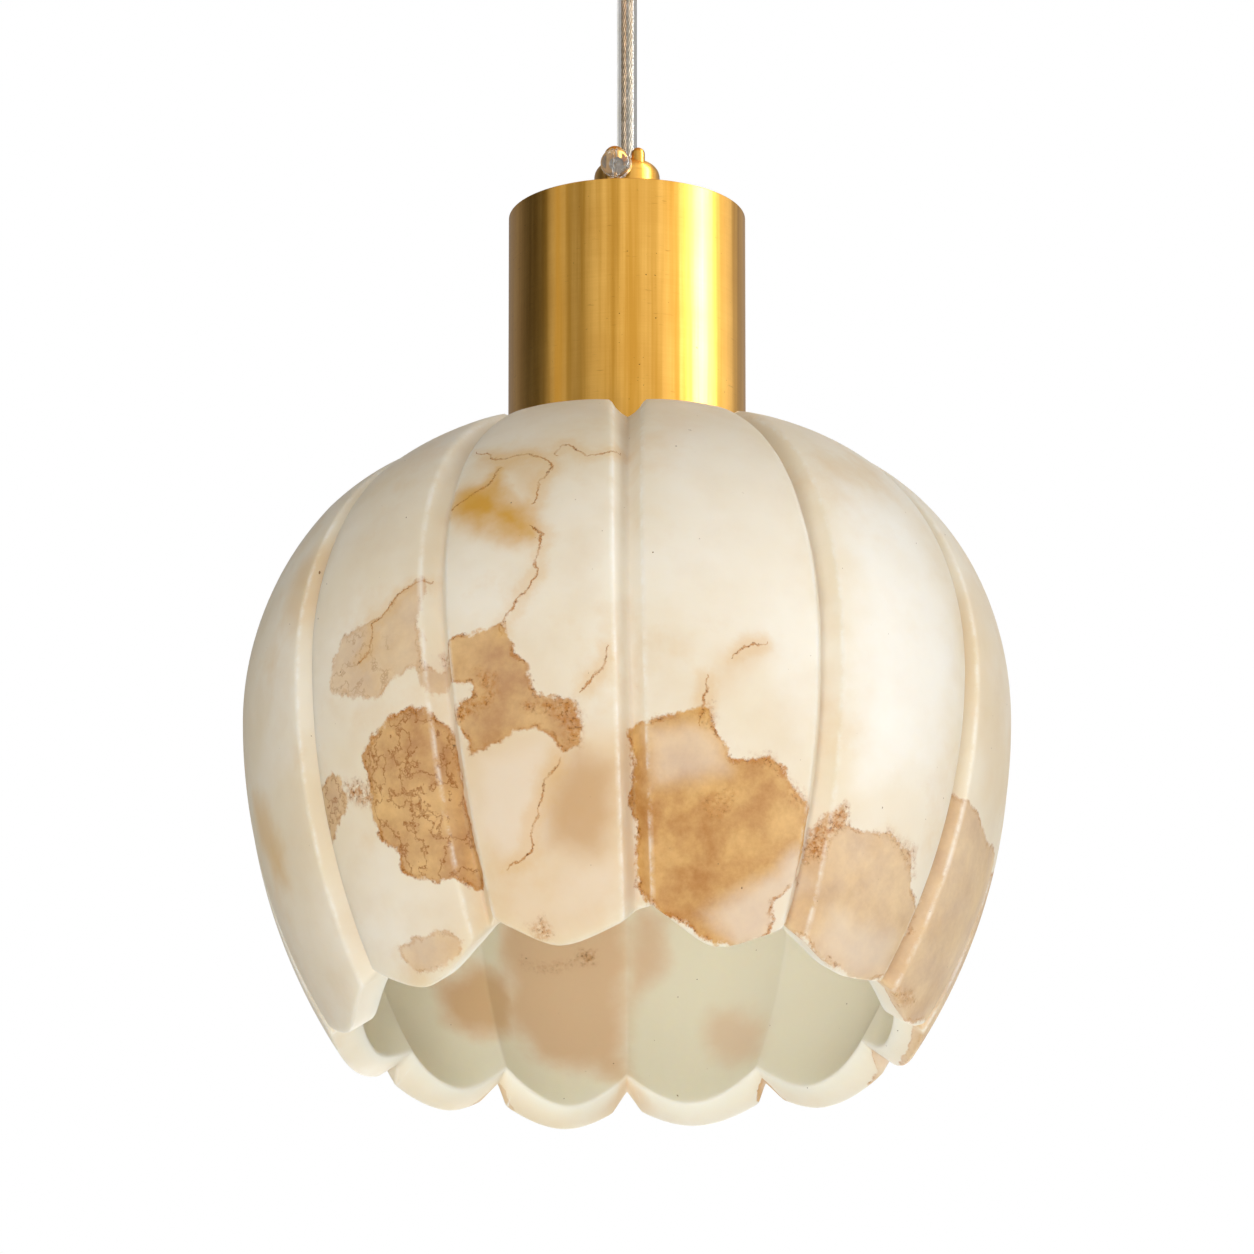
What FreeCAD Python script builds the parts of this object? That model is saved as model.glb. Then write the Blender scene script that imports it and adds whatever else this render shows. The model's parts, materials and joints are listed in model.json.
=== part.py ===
import FreeCAD, Part
import math
import os
import re
import Sketcher

# Pendant light: a carved alabaster bowl under a brass cap, hung on a clear two-core cord.
# Frame: origin on the ceiling at the middle of the bracket, +Z up, -Y towards the viewer.
# Millimetres and degrees.

sizes = {
    # ceiling bracket, a steel strap with two slots for the ceiling screws
    "bracket_length": 88,
    "bracket_width": 20,
    "bracket_thickness": 2,
    "slot_spacing": 54,
    "slot_length": 11,
    "slot_width": 5,
    # the two studs that carry the canopy, their lock nuts and their dome nuts
    "stud_spacing": 80,
    "stud_radius": 1.95,
    "stud_top_gap": 0.4,
    "stud_reach": 6,
    "thread_gap": 0.05,
    "stud_nut_width": 7,
    "stud_nut_height": 3.2,
    "dome_nut_radius": 5,
    "dome_nut_skirt": 4,
    "dome_nut_floor": 2,
    # earth terminal under the strap
    "earth_offset": 12,
    "earth_screw_radius": 1.9,
    "earth_head_radius": 3.6,
    "earth_head_height": 2.4,
    "earth_washer_radius": 4.6,
    "earth_washer_thickness": 0.8,
    # two-pole terminal block
    "block_start": 6,
    "block_length": 14,
    "block_width": 18,
    "block_height": 13,
    "pole_spacing": 8,
    "insert_radius": 2.6,
    "insert_bore": 1.7,
    "insert_screw_radius": 1.2,
    "insert_screw_spacing": 7,
    "insert_screw_sunk": 0.5,
    "insert_screw_slot": 0.5,
    "insert_screw_slot_depth": 0.5,
    "block_fixing_radius": 1.4,
    "block_fixing_head": 2.6,
    "block_fixing_head_height": 2,
    # canopy
    "canopy_radius": 50,
    "canopy_height": 28,
    "canopy_wall": 1,
    "canopy_corner": 4,
    "stud_hole_gap": 0.35,
    # canopy cord gland
    "entry_thread_radius": 4.95,
    "entry_hole_gap": 0.15,
    "gland_radius": 7,
    "gland_collar": 6,
    "gland_thread_up": 8,
    "gland_thread_down": 4,
    "gland_cap_height": 5.7,
    "gland_cap_floor": 1.6,
    "gland_cap_edge": 1.5,
    "gland_cap_thread": 5.6,
    "gland_mouth": 3.1,
    "seal_radius": 4.15,
    "seal_length": 7,
    "entry_nut_width": 14,
    "entry_nut_height": 3.5,
    # cord: clear jacket with one copper core and one tinned core
    "cord_radius": 2.6,
    "cord_gap": 0.05,
    "cord_span": 55,
    "core_radius": 0.75,
    "core_offset": 1.2,
    "cord_top_reach": 4,
    "cord_tail_reach": 5,
    # bends of the stripped cores at their terminals
    "top_bend": 1.5,
    "top_bend_lead": 0.5,
    "top_core_depth": 3,
    "tail_bend": 3,
    "tail_fan_top": 11,
    "tail_fan_bottom": 5,
    "tail_core_depth": 3.5,
    # cord grip on top of the cap, with its clear clamp screw
    "grip_radius": 8.6,
    "grip_height": 15,
    "grip_shoulder": 3.8,
    "grip_mouth": 0.8,
    "grip_thread_depth": 6.5,
    "boss_radius": 2.8,
    "boss_side": 3.2,
    "boss_front": 5.5,
    "boss_top": 18.2,
    "dome_screw_radius": 1.8,
    "dome_screw_side": 2.9,
    "dome_screw_front": 5.2,
    "dome_screw_top": 17.9,
    "dome_screw_depth": 5.2,
    "clamp_angle": 15,
    "clamp_height": 11.5,
    "clamp_radius": 1.95,
    "clamp_shoe_length": 2.2,
    "clamp_shoe_gap": 0.3,
    "clamp_head_radius": 3.9,
    "clamp_head_height": 3.5,
    "clamp_head_gap": 1,
    "clamp_head_edge": 1,
    "clamp_slot_width": 0.9,
    "clamp_slot_depth": 1.5,
    # threaded nipple, brass cap, washer and nut
    "nipple_length": 20,
    "nipple_bore": 3.5,
    "cap_radius": 31,
    "cap_height": 67.2,
    "cap_wall": 1.2,
    "cap_top_wall": 1.6,
    "cap_edge": 0.3,
    "cap_washer_radius": 9,
    "cap_washer_thickness": 0.8,
    "cap_pad_thickness": 0.4,
    # lampholder
    "holder_radius": 20.5,
    "holder_dome_height": 22,
    "holder_dome_corner": 5,
    "holder_dome_wall": 2.4,
    "holder_entry_depth": 5,
    "holder_thread_radius": 19.5,
    "holder_below_seat": 19,
    "holder_flange_radius": 25,
    "holder_flange_height": 2.3,
    "holder_chamber": 18,
    "holder_socket": 14.6,
    "holder_ledge": 12,
    "insulator_height": 14,
    "insulator_step": 3,
    "shell_bore": 13.45,
    "shell_wall": 0.5,
    "shell_short": 3,
    "contact_length": 14,
    "contact_width": 5,
    "contact_thickness": 0.5,
    "contact_button": 2.4,
    "terminal_side": 9,
    "terminal_width": 6,
    "terminal_height": 5,
    "terminal_screw_radius": 1.2,
    "terminal_head_radius": 2,
    "terminal_head_height": 1.5,
    "terminal_screw_gap": 0.1,
    "terminal_floor": 1,
    # shade gasket, washer and ring
    "gasket_radius": 26,
    "gasket_thickness": 1.7,
    "ring_washer_radius": 26,
    "ring_washer_thickness": 1.5,
    "ring_radius": 27.5,
    "ring_height": 7,
    "ring_edge": 1,
    "ring_notch_radius": 3,
    "rest_gap": 0.1,
    # alabaster shade
    "shade_radius": 100.1,
    "shade_equator": 73.1,
    "shade_height": 161,
    "shade_belly_radius": 84.25,
    "shade_belly_angle": 24.8,
    "shade_shoulder_radius": 71.2,
    "shade_lower_radius": 158,
    "shade_wall": 7.5,
    "shade_top_thickness": 9,
    "shade_hole_gap": 1.5,
    "groove_depth": 4,
    "groove_half_width": 3.9,
    "scallop_depth": 11.7,
    # frosted bulb with a 27 mm screw base
    "bulb_tip_radius": 4.5,
    "bulb_tip_height": 1.5,
    "bulb_tip_edge": 1,
    "bulb_insulator_height": 4,
    "bulb_insulator_foot": 10,
    "bulb_insulator_lip": 0.5,
    "bulb_shell_radius": 13.1,
    "bulb_shell_taper": 2,
    "bulb_collar_gap": 0.3,
    "bulb_collar_lip": 0.3,
    "bulb_neck_radius": 17,
    "bulb_neck_height": 5,
    "bulb_globe_radius": 30,
    "bulb_length": 106,
    "bulb_collar_angle": 30,
    "bulb_contact_gap": 0.3,
}

petals = 12
ring_notches = 8
volume_slack = 0.01  # a swept core's volume against its section times its length

# Heights and places worked out from the sizes, as rules.
rules = {
    "past": "1",  # how far a cut runs beyond the face that it opens
    "canopy_bottom": "-canopy_height",
    "gland_cap_top": "canopy_bottom - gland_collar - thread_gap",
    "gland_bottom": "gland_cap_top - gland_cap_height",
    "grip_top": "gland_bottom - cord_span",
    "cap_top": "grip_top - grip_height",
    "cap_inside": "cap_top - cap_top_wall",
    "seat": "cap_top - cap_height - cap_pad_thickness",
    "flange_bottom": "seat + gasket_thickness",
    "flange_top": "flange_bottom + holder_flange_height",
    "nipple_bottom": "cap_top + grip_thread_depth - nipple_length",
    "holder_top": "nipple_bottom + holder_entry_depth",
    "holder_joint": "holder_top - holder_dome_height",
    "holder_bottom": "seat - holder_below_seat",
    "ledge": "seat + holder_ledge",
    "insulator_top": "ledge + insulator_height",
    "shell_bottom": "holder_bottom + shell_short",
    "contact_bottom": "ledge - contact_thickness - contact_button",
    "bulb_tip": "contact_bottom - bulb_contact_gap",
    "bulb_bottom": "bulb_tip - bulb_length",
    "entry_radius": "entry_thread_radius + thread_gap",
    "hole_radius": "holder_thread_radius + shade_hole_gap",
    "washer_top": "seat - shade_top_thickness - rest_gap",
    "ring_top": "washer_top - ring_washer_thickness - rest_gap",
    "wire_level": "-bracket_thickness - block_height / 2",
    "tilt": "shade_belly_angle * 1 deg",
    "belly_centre": "shade_radius - shade_belly_radius",
    "lower_centre": "shade_radius - shade_lower_radius",
    "shoulder_side": "belly_centre + (shade_belly_radius - shade_shoulder_radius) * cos(tilt)",
    "shoulder_drop": "shade_equator - (shade_belly_radius - shade_shoulder_radius) * sin(tilt)",
    "edge_slope": "(shade_height - shade_equator) / shade_lower_radius",
    "run_out": "asin(edge_slope) + 8 deg",  # where a groove's cut ends, below the lower edge
    "clamp_start": "cord_radius + clamp_shoe_gap",
    "clamp_tip": "clamp_start + clamp_shoe_length + thread_gap",
    "clamp_head": "grip_radius + clamp_head_gap",
}

doc = FreeCAD.newDocument("Pendant")
sheet = doc.addObject("Spreadsheet::Sheet", "Sizes")
for row, (name, value) in enumerate(sizes.items(), start=1):
    sheet.set(f"A{row}", name)
    sheet.set(f"B{row}", str(value))
    sheet.setAlias(f"B{row}", name)
doc.recompute()

nodes = {}


def bind(rule):
    """Write a rule as an expression on the sheet's cells."""

    def word(match):
        name = match.group(0)
        if name in sizes:
            return "Sizes." + name
        if name in rules:
            return "(" + bind(rules[name]) + ")"
        return name

    return re.sub(r"[a-z][a-z_]*", word, str(rule))


def number(rule):
    """The value of a rule, in millimetres or degrees."""
    return float(sheet.evalExpression(bind(rule)))


def keep(label, thing):
    """Name a finished sub-part, which is a node of the model."""
    thing.Label = label
    nodes[label] = thing
    return thing


def place(thing, x="0", y="0", z="0"):
    """Bind a sub-part's position to rules."""
    for axis, rule in (("x", x), ("y", y), ("z", z)):
        if rule != "0":
            thing.setExpression(f"Placement.Base.{axis}", bind(rule))
    return thing


def origin_plane(body, role):
    """One of a body's own origin planes or axes."""
    return next(item for item in body.Origin.OriginFeatures if item.Role == role)


def drawn_edge(start, end, radius):
    """A line, or an arc of a signed radius: positive turns left on the way, negative right."""
    if not radius:
        return Part.LineSegment(start, end)
    chord = end - start
    rise = math.sqrt(max(radius**2 - chord.Length**2 / 4, 0))
    left = FreeCAD.Vector(-chord.y, chord.x, 0).normalize()
    centre = (start + end) / 2 + left * math.copysign(rise, radius)
    circle = Part.Circle(centre, FreeCAD.Vector(0, 0, 1), abs(radius))
    first, last = (start, end) if radius > 0 else (end, start)
    angles = [math.atan2(p.y - centre.y, p.x - centre.x) for p in (first, last)]
    return Part.ArcOfCircle(circle, *angles)


def draw(sketch, corners, closed=True):
    """Draw an outline whose corners are (x rule, y rule) or (x, y, radius rule of the next edge)."""
    points = [FreeCAD.Vector(number(c[0]), number(c[1]), 0) for c in corners]
    radii = [c[2] if len(c) > 2 else "0" for c in corners]
    count = len(corners) if closed else len(corners) - 1
    ends = []
    for i in range(count):
        radius = number(radii[i])
        edge = sketch.addGeometry(drawn_edge(points[i], points[(i + 1) % len(points)], radius))
        ends.append((edge, 1, 2) if radius >= 0 else (edge, 2, 1))
    for i in range(count if closed else count - 1):
        after = ends[(i + 1) % count]
        sketch.addConstraint(Sketcher.Constraint("Coincident", ends[i][0], ends[i][2], after[0], after[1]))
    for i, corner in enumerate(corners):
        edge, spot = (ends[i][0], ends[i][1]) if i < count else (ends[-1][0], ends[-1][2])
        for kind, rule, value, line in (
            ("DistanceX", corner[0], points[i].x, -2),
            ("DistanceY", corner[1], points[i].y, -1),
        ):
            if rule == "0":
                sketch.addConstraint(Sketcher.Constraint("PointOnObject", edge, spot, line))
            else:
                index = sketch.addConstraint(Sketcher.Constraint(kind, edge, spot, value))
                sketch.setExpression(f"Constraints[{index}]", bind(rule))
        if i < count and radii[i] != "0":
            index = sketch.addConstraint(Sketcher.Constraint("Radius", edge, abs(number(radii[i]))))
            sketch.setExpression(f"Constraints[{index}]", f"abs({bind(radii[i])})")


def sketch_on(body, name, role, corners, closed=True):
    """A sketch with one outline on a body's own origin plane."""
    sketch = body.newObject("Sketcher::SketchObject", name)
    sketch.AttachmentSupport = [(origin_plane(body, role), "")]
    sketch.MapMode = "FlatFace"
    draw(sketch, corners, closed)
    return sketch


def turned(name, corners, x="0", y="0", z="0"):
    """A turned body: an outline of (radius, height) corners, revolved about the upright axis."""
    body = doc.addObject("PartDesign::Body", name)
    sketch = sketch_on(body, name + "_outline", "XZ_Plane", corners)
    spin = body.newObject("PartDesign::Revolution", name + "_turn")
    spin.Profile = sketch
    spin.ReferenceAxis = (sketch, ["V_Axis"])
    spin.Angle = 360
    body.Tip = spin
    return place(body, x, y, z)


def tube(name, inner, outer, bottom, top, x="0", y="0", z="0"):
    """A plain turned ring or tube."""
    return turned(name, [(inner, bottom), (outer, bottom), (outer, top), (inner, top)], x, y, z)


def rod(name, radius, length, x="0", y="0", z="0", along="Z"):
    """A plain cylinder from its base point, along +Z or +X."""
    cylinder = doc.addObject("Part::Cylinder", name)
    cylinder.setExpression("Radius", bind(radius))
    cylinder.setExpression("Height", bind(length))
    if along == "X":
        cylinder.Placement.Rotation = FreeCAD.Rotation(FreeCAD.Vector(0, 1, 0), 90)
    return place(cylinder, x, y, z)


def bar(name, length, width, height, x, y, z):
    """A rectangular block from its low corner."""
    box = doc.addObject("Part::Box", name)
    box.setExpression("Length", bind(length))
    box.setExpression("Width", bind(width))
    box.setExpression("Height", bind(height))
    return place(box, x, y, z)


def ball(name, radius, x="0", y="0", z="0"):
    """A plain sphere about its middle."""
    sphere = doc.addObject("Part::Sphere", name)
    sphere.setExpression("Radius", bind(radius))
    return place(sphere, x, y, z)


def hexagon(name, width, height, x="0", y="0", z="0"):
    """A hexagonal prism of a width across its flats."""
    prism = doc.addObject("Part::Prism", name)
    prism.Polygon = 6
    prism.setExpression("Circumradius", bind(f"({width}) / sqrt(3)"))
    prism.setExpression("Height", bind(height))
    return place(prism, x, y, z)


def joined(name, parts):
    """One solid from several that overlap or touch."""
    union = doc.addObject("Part::MultiFuse", name)
    union.Shapes = parts
    return union


def group(name, parts):
    """Separate solids that share one node."""
    compound = doc.addObject("Part::Compound", name)
    compound.Links = parts
    return compound


def cut(name, base, tools):
    """A solid with one or more tools taken out of it."""
    hollow = doc.addObject("Part::Cut", name)
    hollow.Base = base
    hollow.Tool = tools[0] if len(tools) == 1 else joined(name + "_tools", tools)
    return hollow


def ceiling_bracket():
    half = "bracket_length / 2"
    strap = bar("strap", "bracket_length", "bracket_width", "bracket_thickness", f"-{half}",
                "-bracket_width / 2", "-bracket_thickness")
    tools = []
    for side, end in ((-1, "left"), (1, "right")):
        middle = f"{side} * slot_spacing / 2"
        flat = "(slot_length - slot_width)"
        low = "-bracket_thickness - past"
        deep = "bracket_thickness + 2 * past"
        tools.append(bar(f"slot_{end}", flat, "slot_width", deep, f"{middle} - {flat} / 2",
                         "-slot_width / 2", low))
        for way in (-1, 1):
            tools.append(rod(f"slot_end_{end}", "slot_width / 2", deep,
                             f"{middle} + {way} * {flat} / 2", "0", low))
        tools.append(rod(f"stud_thread_{end}", "stud_radius + thread_gap", deep,
                         f"{side} * stud_spacing / 2", "0", low))
    tools.append(rod("earth_thread", "earth_screw_radius + thread_gap", deep, "-earth_offset", "0", low))
    tools.append(rod("fixing_thread", "block_fixing_radius + thread_gap", deep,
                     "block_start + block_length / 2", "0", low))
    keep("ceiling_bracket", cut("bracket_cut", strap, tools))


def canopy_fasteners():
    studs, lock_nuts, dome_nuts = [], [], []
    for side in (-1, 1):
        across = f"{side} * stud_spacing / 2"
        length = "canopy_height + stud_reach - stud_top_gap"
        studs.append(rod("stud", "stud_radius", length, across, "0", "canopy_bottom - stud_reach"))
        blank = hexagon("lock_nut_blank", "stud_nut_width", "stud_nut_height", across, "0",
                        "-bracket_thickness - stud_nut_height")
        bore = rod("lock_nut_bore", "stud_radius + thread_gap", "stud_nut_height + 2 * past", across,
                   "0", "-bracket_thickness - stud_nut_height - past")
        lock_nuts.append(cut("lock_nut", blank, [bore]))
        inner = "stud_radius + thread_gap"
        deep = "-(dome_nut_skirt + dome_nut_radius - dome_nut_floor)"
        dome_nuts.append(turned("dome_nut", [
            (inner, "0"), (inner, deep), ("0", deep),
            ("0", "-(dome_nut_skirt + dome_nut_radius)", "dome_nut_radius"),
            ("dome_nut_radius", "-dome_nut_skirt"), ("dome_nut_radius", "0"),
        ], across, "0", "canopy_bottom"))
    keep("canopy_studs", group("studs", studs))
    keep("stud_lock_nuts", group("lock_nuts", lock_nuts))
    keep("canopy_dome_nuts", group("dome_nuts", dome_nuts))


def earth_terminal():
    washer_top = "-bracket_thickness"
    keep("earth_washer", tube("earth_ring", "earth_screw_radius + thread_gap", "earth_washer_radius",
                              "-earth_washer_thickness", "0", "-earth_offset", "0", washer_top))
    keep("earth_screw", turned("earth_pan", [
        ("0", "0"), ("earth_head_radius", "0"), ("earth_head_radius", "earth_head_height"),
        ("earth_screw_radius", "earth_head_height"),
        ("earth_screw_radius", "earth_head_height + bracket_thickness"),
        ("0", "earth_head_height + bracket_thickness"),
    ], "-earth_offset", "0", "-bracket_thickness - earth_washer_thickness - earth_head_height"))


def terminal_block():
    base = "-bracket_thickness - block_height"
    middle = "block_start + block_length / 2"
    block = bar("block_blank", "block_length", "block_width", "block_height", "block_start",
                "-block_width / 2", base)
    tools, inserts, screws = [], [], []
    for side in (-1, 1):
        pole = f"{side} * pole_spacing / 2"
        tools.append(rod("insert_seat", "insert_radius + thread_gap", "block_length + 2 * past",
                         "block_start - past", pole, "wire_level", "X"))
        sleeve = rod("insert_blank", "insert_radius", "block_length", "block_start", pole,
                     "wire_level", "X")
        bore = rod("insert_way", "insert_bore", "block_length + 2 * past", "block_start - past", pole,
                   "wire_level", "X")
        threads = []
        for way in (-1, 1):
            spot = f"{middle} + {way} * insert_screw_spacing / 2"
            threads.append(rod("insert_thread", "insert_screw_radius + thread_gap",
                               "block_height / 2 + past", spot, pole, f"{base} - past"))
            tools.append(rod("screw_way", "insert_screw_radius + thread_gap",
                             "block_height / 2 + past", spot, pole, f"{base} - past"))
            face = f"{base} + insert_screw_sunk"
            head = rod("wire_screw_blank", "insert_screw_radius",
                       "block_height / 2 - insert_bore - insert_screw_sunk", spot, pole, face)
            slot = bar("wire_screw_slot", "2 * (insert_screw_radius + past)", "insert_screw_slot",
                       "insert_screw_slot_depth + past", f"{spot} - insert_screw_radius - past",
                       f"{pole} - insert_screw_slot / 2", f"{face} - past")
            screws.append(cut("wire_screw", head, [slot]))
        inserts.append(cut("insert", sleeve, [bore] + threads))
    tools.append(rod("fixing_way", "block_fixing_radius + thread_gap", "block_height + 2 * past",
                     middle, "0", f"{base} - past"))
    tools.append(rod("fixing_sink", "block_fixing_head + thread_gap", "block_fixing_head_height + past",
                     middle, "0", f"{base} - past"))
    keep("terminal_block", cut("block_cut", block, tools))
    keep("terminal_inserts", group("inserts", inserts))
    keep("terminal_wire_screws", group("wire_screws", screws))
    keep("block_fixing_screw", turned("fixing_pan", [
        ("0", "0"), ("block_fixing_head", "0"), ("block_fixing_head", "block_fixing_head_height"),
        ("block_fixing_radius", "block_fixing_head_height"),
        ("block_fixing_radius", "block_height + bracket_thickness"),
        ("0", "block_height + bracket_thickness"),
    ], middle, "0", base))


def canopy():
    inner = "canopy_radius - canopy_wall"
    entry = "entry_thread_radius + entry_hole_gap"
    cup = turned("canopy_cup", [
        (entry, "canopy_bottom"),
        ("canopy_radius - canopy_corner", "canopy_bottom", "canopy_corner"),
        ("canopy_radius", "canopy_bottom + canopy_corner"),
        ("canopy_radius", "0"),
        (inner, "0"),
        (inner, "canopy_bottom + canopy_corner", "canopy_wall - canopy_corner"),
        ("canopy_radius - canopy_corner", "canopy_bottom + canopy_wall"),
        (entry, "canopy_bottom + canopy_wall"),
    ])
    holes = [rod("stud_hole", "stud_radius + stud_hole_gap", "canopy_wall + 2 * past",
                 f"{side} * stud_spacing / 2", "0", "canopy_bottom - past") for side in (-1, 1)]
    keep("canopy", cut("canopy_cut", cup, holes))


def canopy_gland():
    cord = "cord_radius + cord_gap"
    collar = "canopy_bottom - gland_collar"
    tail = f"{collar} - gland_thread_down"
    pocket = "seal_radius + thread_gap"
    keep("gland_body", turned("gland_turned", [
        (cord, f"{tail} + seal_length"), (pocket, f"{tail} + seal_length"), (pocket, tail),
        ("gland_cap_thread", tail), ("gland_cap_thread", collar), ("gland_radius", collar),
        ("gland_radius", "canopy_bottom"), ("entry_thread_radius", "canopy_bottom"),
        ("entry_thread_radius", "canopy_bottom + gland_thread_up"),
        (cord, "canopy_bottom + gland_thread_up"),
    ]))
    keep("gland_seal", tube("seal_sleeve", cord, "seal_radius", tail, f"{tail} + seal_length"))
    keep("gland_cap", turned("gland_cap_turned", [
        ("gland_mouth", "gland_bottom"),
        ("gland_radius - gland_cap_edge", "gland_bottom", "gland_cap_edge"),
        ("gland_radius", "gland_bottom + gland_cap_edge"),
        ("gland_radius", "gland_cap_top"),
        ("gland_cap_thread + thread_gap", "gland_cap_top"),
        ("gland_cap_thread + thread_gap", "gland_bottom + gland_cap_floor"),
        ("gland_mouth", "gland_bottom + gland_cap_floor"),
    ]))
    entry_nut("gland_nut", "canopy_bottom + canopy_wall")


def entry_nut(label, bottom):
    """A hexagon nut on the cord entry's thread."""
    blank = hexagon(label + "_blank", "entry_nut_width", "entry_nut_height", "0", "0", bottom)
    bore = rod(label + "_bore", "entry_radius", "entry_nut_height + 2 * past", "0", "0",
               f"{bottom} - past")
    keep(label, cut(label + "_cut", blank, [bore]))


def cord():
    """The clear jacket in three stretches, which meet in ball ends where the cord bends."""
    socket = "cord_radius + cord_gap"
    stretches = {
        "cord_jacket_top": ("gland_bottom", "canopy_bottom + gland_thread_up + cord_top_reach", "top"),
        "cord_jacket": ("grip_top", "gland_bottom", "span"),
        "cord_jacket_tail": ("nipple_bottom - cord_tail_reach", "grip_top", "tail"),
    }
    for label, (low, high, kind) in stretches.items():
        jacket = rod(label + "_rod", "cord_radius", f"({high}) - ({low})", "0", "0", low)
        tools = [rod(label + "_way", "core_radius + cord_gap", f"({high}) - ({low}) + 4 * cord_radius",
                     f"{side} * core_offset", "0", f"({low}) - 2 * cord_radius") for side in (-1, 1)]
        if kind == "span":
            ends = [ball("ball_end", "cord_radius", "0", "0", level) for level in (low, high)]
            jacket = joined(label + "_round", [jacket] + ends)
        else:
            bend = low if kind == "top" else high
            tools.append(ball("ball_seat", socket, "0", "0", bend))
        keep(label, cut(label + "_cut", jacket, tools))
    for side, metal in ((-1, "copper"), (1, "tinned")):
        keep(f"{metal}_core", rod(metal, "core_radius", "cord_span", f"{side} * core_offset", "0",
                                  "grip_top"))


def lead(label, corners, bend):
    """A core bent along straight runs joined by tangent arcs of one radius rule."""
    bend = number(bend)
    points = [FreeCAD.Vector(*(number(rule) for rule in corner)) for corner in corners]
    edges, start = [], points[0]
    for before, corner, after in zip(points, points[1:], points[2:]):
        back = (before - corner).normalize()
        on = (after - corner).normalize()
        half = math.acos(max(-1, min(1, back.dot(on)))) / 2
        reach = bend / math.tan(half)
        first, last = corner + back * reach, corner + on * reach
        middle = corner + (back + on).normalize() * (bend / math.sin(half) - bend)
        edges += [Part.LineSegment(start, first).toShape(), Part.Arc(first, middle, last).toShape()]
        start = last
    edges.append(Part.LineSegment(start, points[-1]).toShape())
    route = Part.Wire(edges)
    ring = Part.Wire(Part.Circle(points[0], points[1] - points[0], number("core_radius")).toShape())
    solid = route.makePipeShell([ring], True, True)
    wanted = route.Length * math.pi * number("core_radius") ** 2
    if abs(solid.Volume / wanted - 1) > volume_slack:
        raise RuntimeError(f"{label} sweeps to the wrong volume")
    print(label, "arc radius", round(bend, 2))
    wire = doc.addObject("Part::Feature", label + "_wire")
    wire.Shape = solid
    keep(label, wire)


def leads():
    """The stripped cores: up into the terminal block, and down to the lampholder's terminals."""
    top = "insulator_top + terminal_height"
    for side, metal in ((-1, "copper"), (1, "tinned")):
        across = f"{side} * core_offset"
        pole = f"{-side} * pole_spacing / 2"
        lead(f"{metal}_core_top", [
            (across, "0", "gland_bottom + cord_radius"), (across, "0", "wire_level"),
            ("block_start - top_bend_lead", pole, "wire_level"),
            ("block_start + top_core_depth", pole, "wire_level"),
        ], "top_bend")
        lead(f"{metal}_core_tail", [
            (across, "0", "grip_top - cord_radius"), (across, "0", f"{top} + tail_fan_top"),
            (f"{side} * terminal_side", "0", f"{top} + tail_fan_bottom"),
            (f"{side} * terminal_side", "0", f"{top} - tail_core_depth"),
        ], "tail_bend")


def to_clamp(thing):
    """Lay a piece made along +Z on the clamp's axis, which points at the viewer and a little left."""
    angle = number("clamp_angle")
    turn = FreeCAD.Rotation(FreeCAD.Vector(0, 0, 1), -angle)
    lay = FreeCAD.Rotation(FreeCAD.Vector(1, 0, 0), 90)
    thing.Placement = FreeCAD.Placement(FreeCAD.Vector(0, 0, 0), turn * lay)
    return place(thing, "0", "0", "cap_top + clamp_height")


def cord_grip():
    base = "cap_top"
    cord_bore = "cord_radius + cord_gap"
    mouth = f"{cord_bore} + grip_mouth"
    hub = turned("grip_hub", [
        (cord_bore, "grip_thread_depth"), ("entry_radius", "grip_thread_depth"), ("entry_radius", "0"),
        ("grip_radius", "0"), ("grip_radius", "grip_height - grip_shoulder", "grip_shoulder"),
        ("grip_radius - grip_shoulder", "grip_height"), (mouth, "grip_height"),
        (cord_bore, "grip_height - grip_mouth"),
    ], "0", "0", base)
    boss = turned("grip_boss", [
        ("0", "grip_thread_depth"), ("boss_radius", "grip_thread_depth"),
        ("boss_radius", "boss_top - boss_radius", "boss_radius"), ("0", "boss_top"),
    ], "-boss_side", "-boss_front", base)
    bore = rod("cord_way", cord_bore, "boss_top - grip_thread_depth + past", "0", "0",
               "cap_top + grip_thread_depth")
    screw_hole = rod("dome_screw_hole", "dome_screw_radius + thread_gap", "dome_screw_depth + past",
                     "dome_screw_side", "-dome_screw_front", "cap_top + dome_screw_top - dome_screw_depth")
    clamp_bore = to_clamp(rod("clamp_bore", "clamp_radius + thread_gap", "grip_radius + past"))
    body = joined("grip_joined", [hub, boss])
    keep("cord_grip", cut("grip_cut", body, [bore, screw_hole, clamp_bore]))
    keep("grip_dome_screw", turned("dome_screw", [
        ("0", "-dome_screw_depth"), ("dome_screw_radius", "-dome_screw_depth"),
        ("dome_screw_radius", "-dome_screw_radius", "dome_screw_radius"), ("0", "0"),
    ], "dome_screw_side", "-dome_screw_front", "cap_top + dome_screw_top"))


def clamp():
    shoe = rod("shoe_rod", "clamp_radius", "clamp_shoe_length")
    shoe.setExpression("Placement.Base.z", bind("clamp_start"))
    keep("clamp_shoe", to_clamp(group("shoe", [shoe])))
    head_top = "clamp_head + clamp_head_height"
    blank = turned("clamp_blank", [
        ("0", "clamp_tip"), ("clamp_radius", "clamp_tip"), ("clamp_radius", "clamp_head"),
        ("clamp_head_radius", "clamp_head"),
        ("clamp_head_radius", f"{head_top} - clamp_head_edge", "clamp_head_edge"),
        ("clamp_head_radius - clamp_head_edge", head_top), ("0", head_top),
    ])
    slot = bar("clamp_slot", "clamp_slot_width", "2 * (clamp_head_radius + past)",
               "clamp_slot_depth + past", "-clamp_slot_width / 2", "-clamp_head_radius - past",
               f"{head_top} - clamp_slot_depth")
    keep("clamp_screw", to_clamp(cut("clamp_cut", blank, [slot])))


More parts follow.
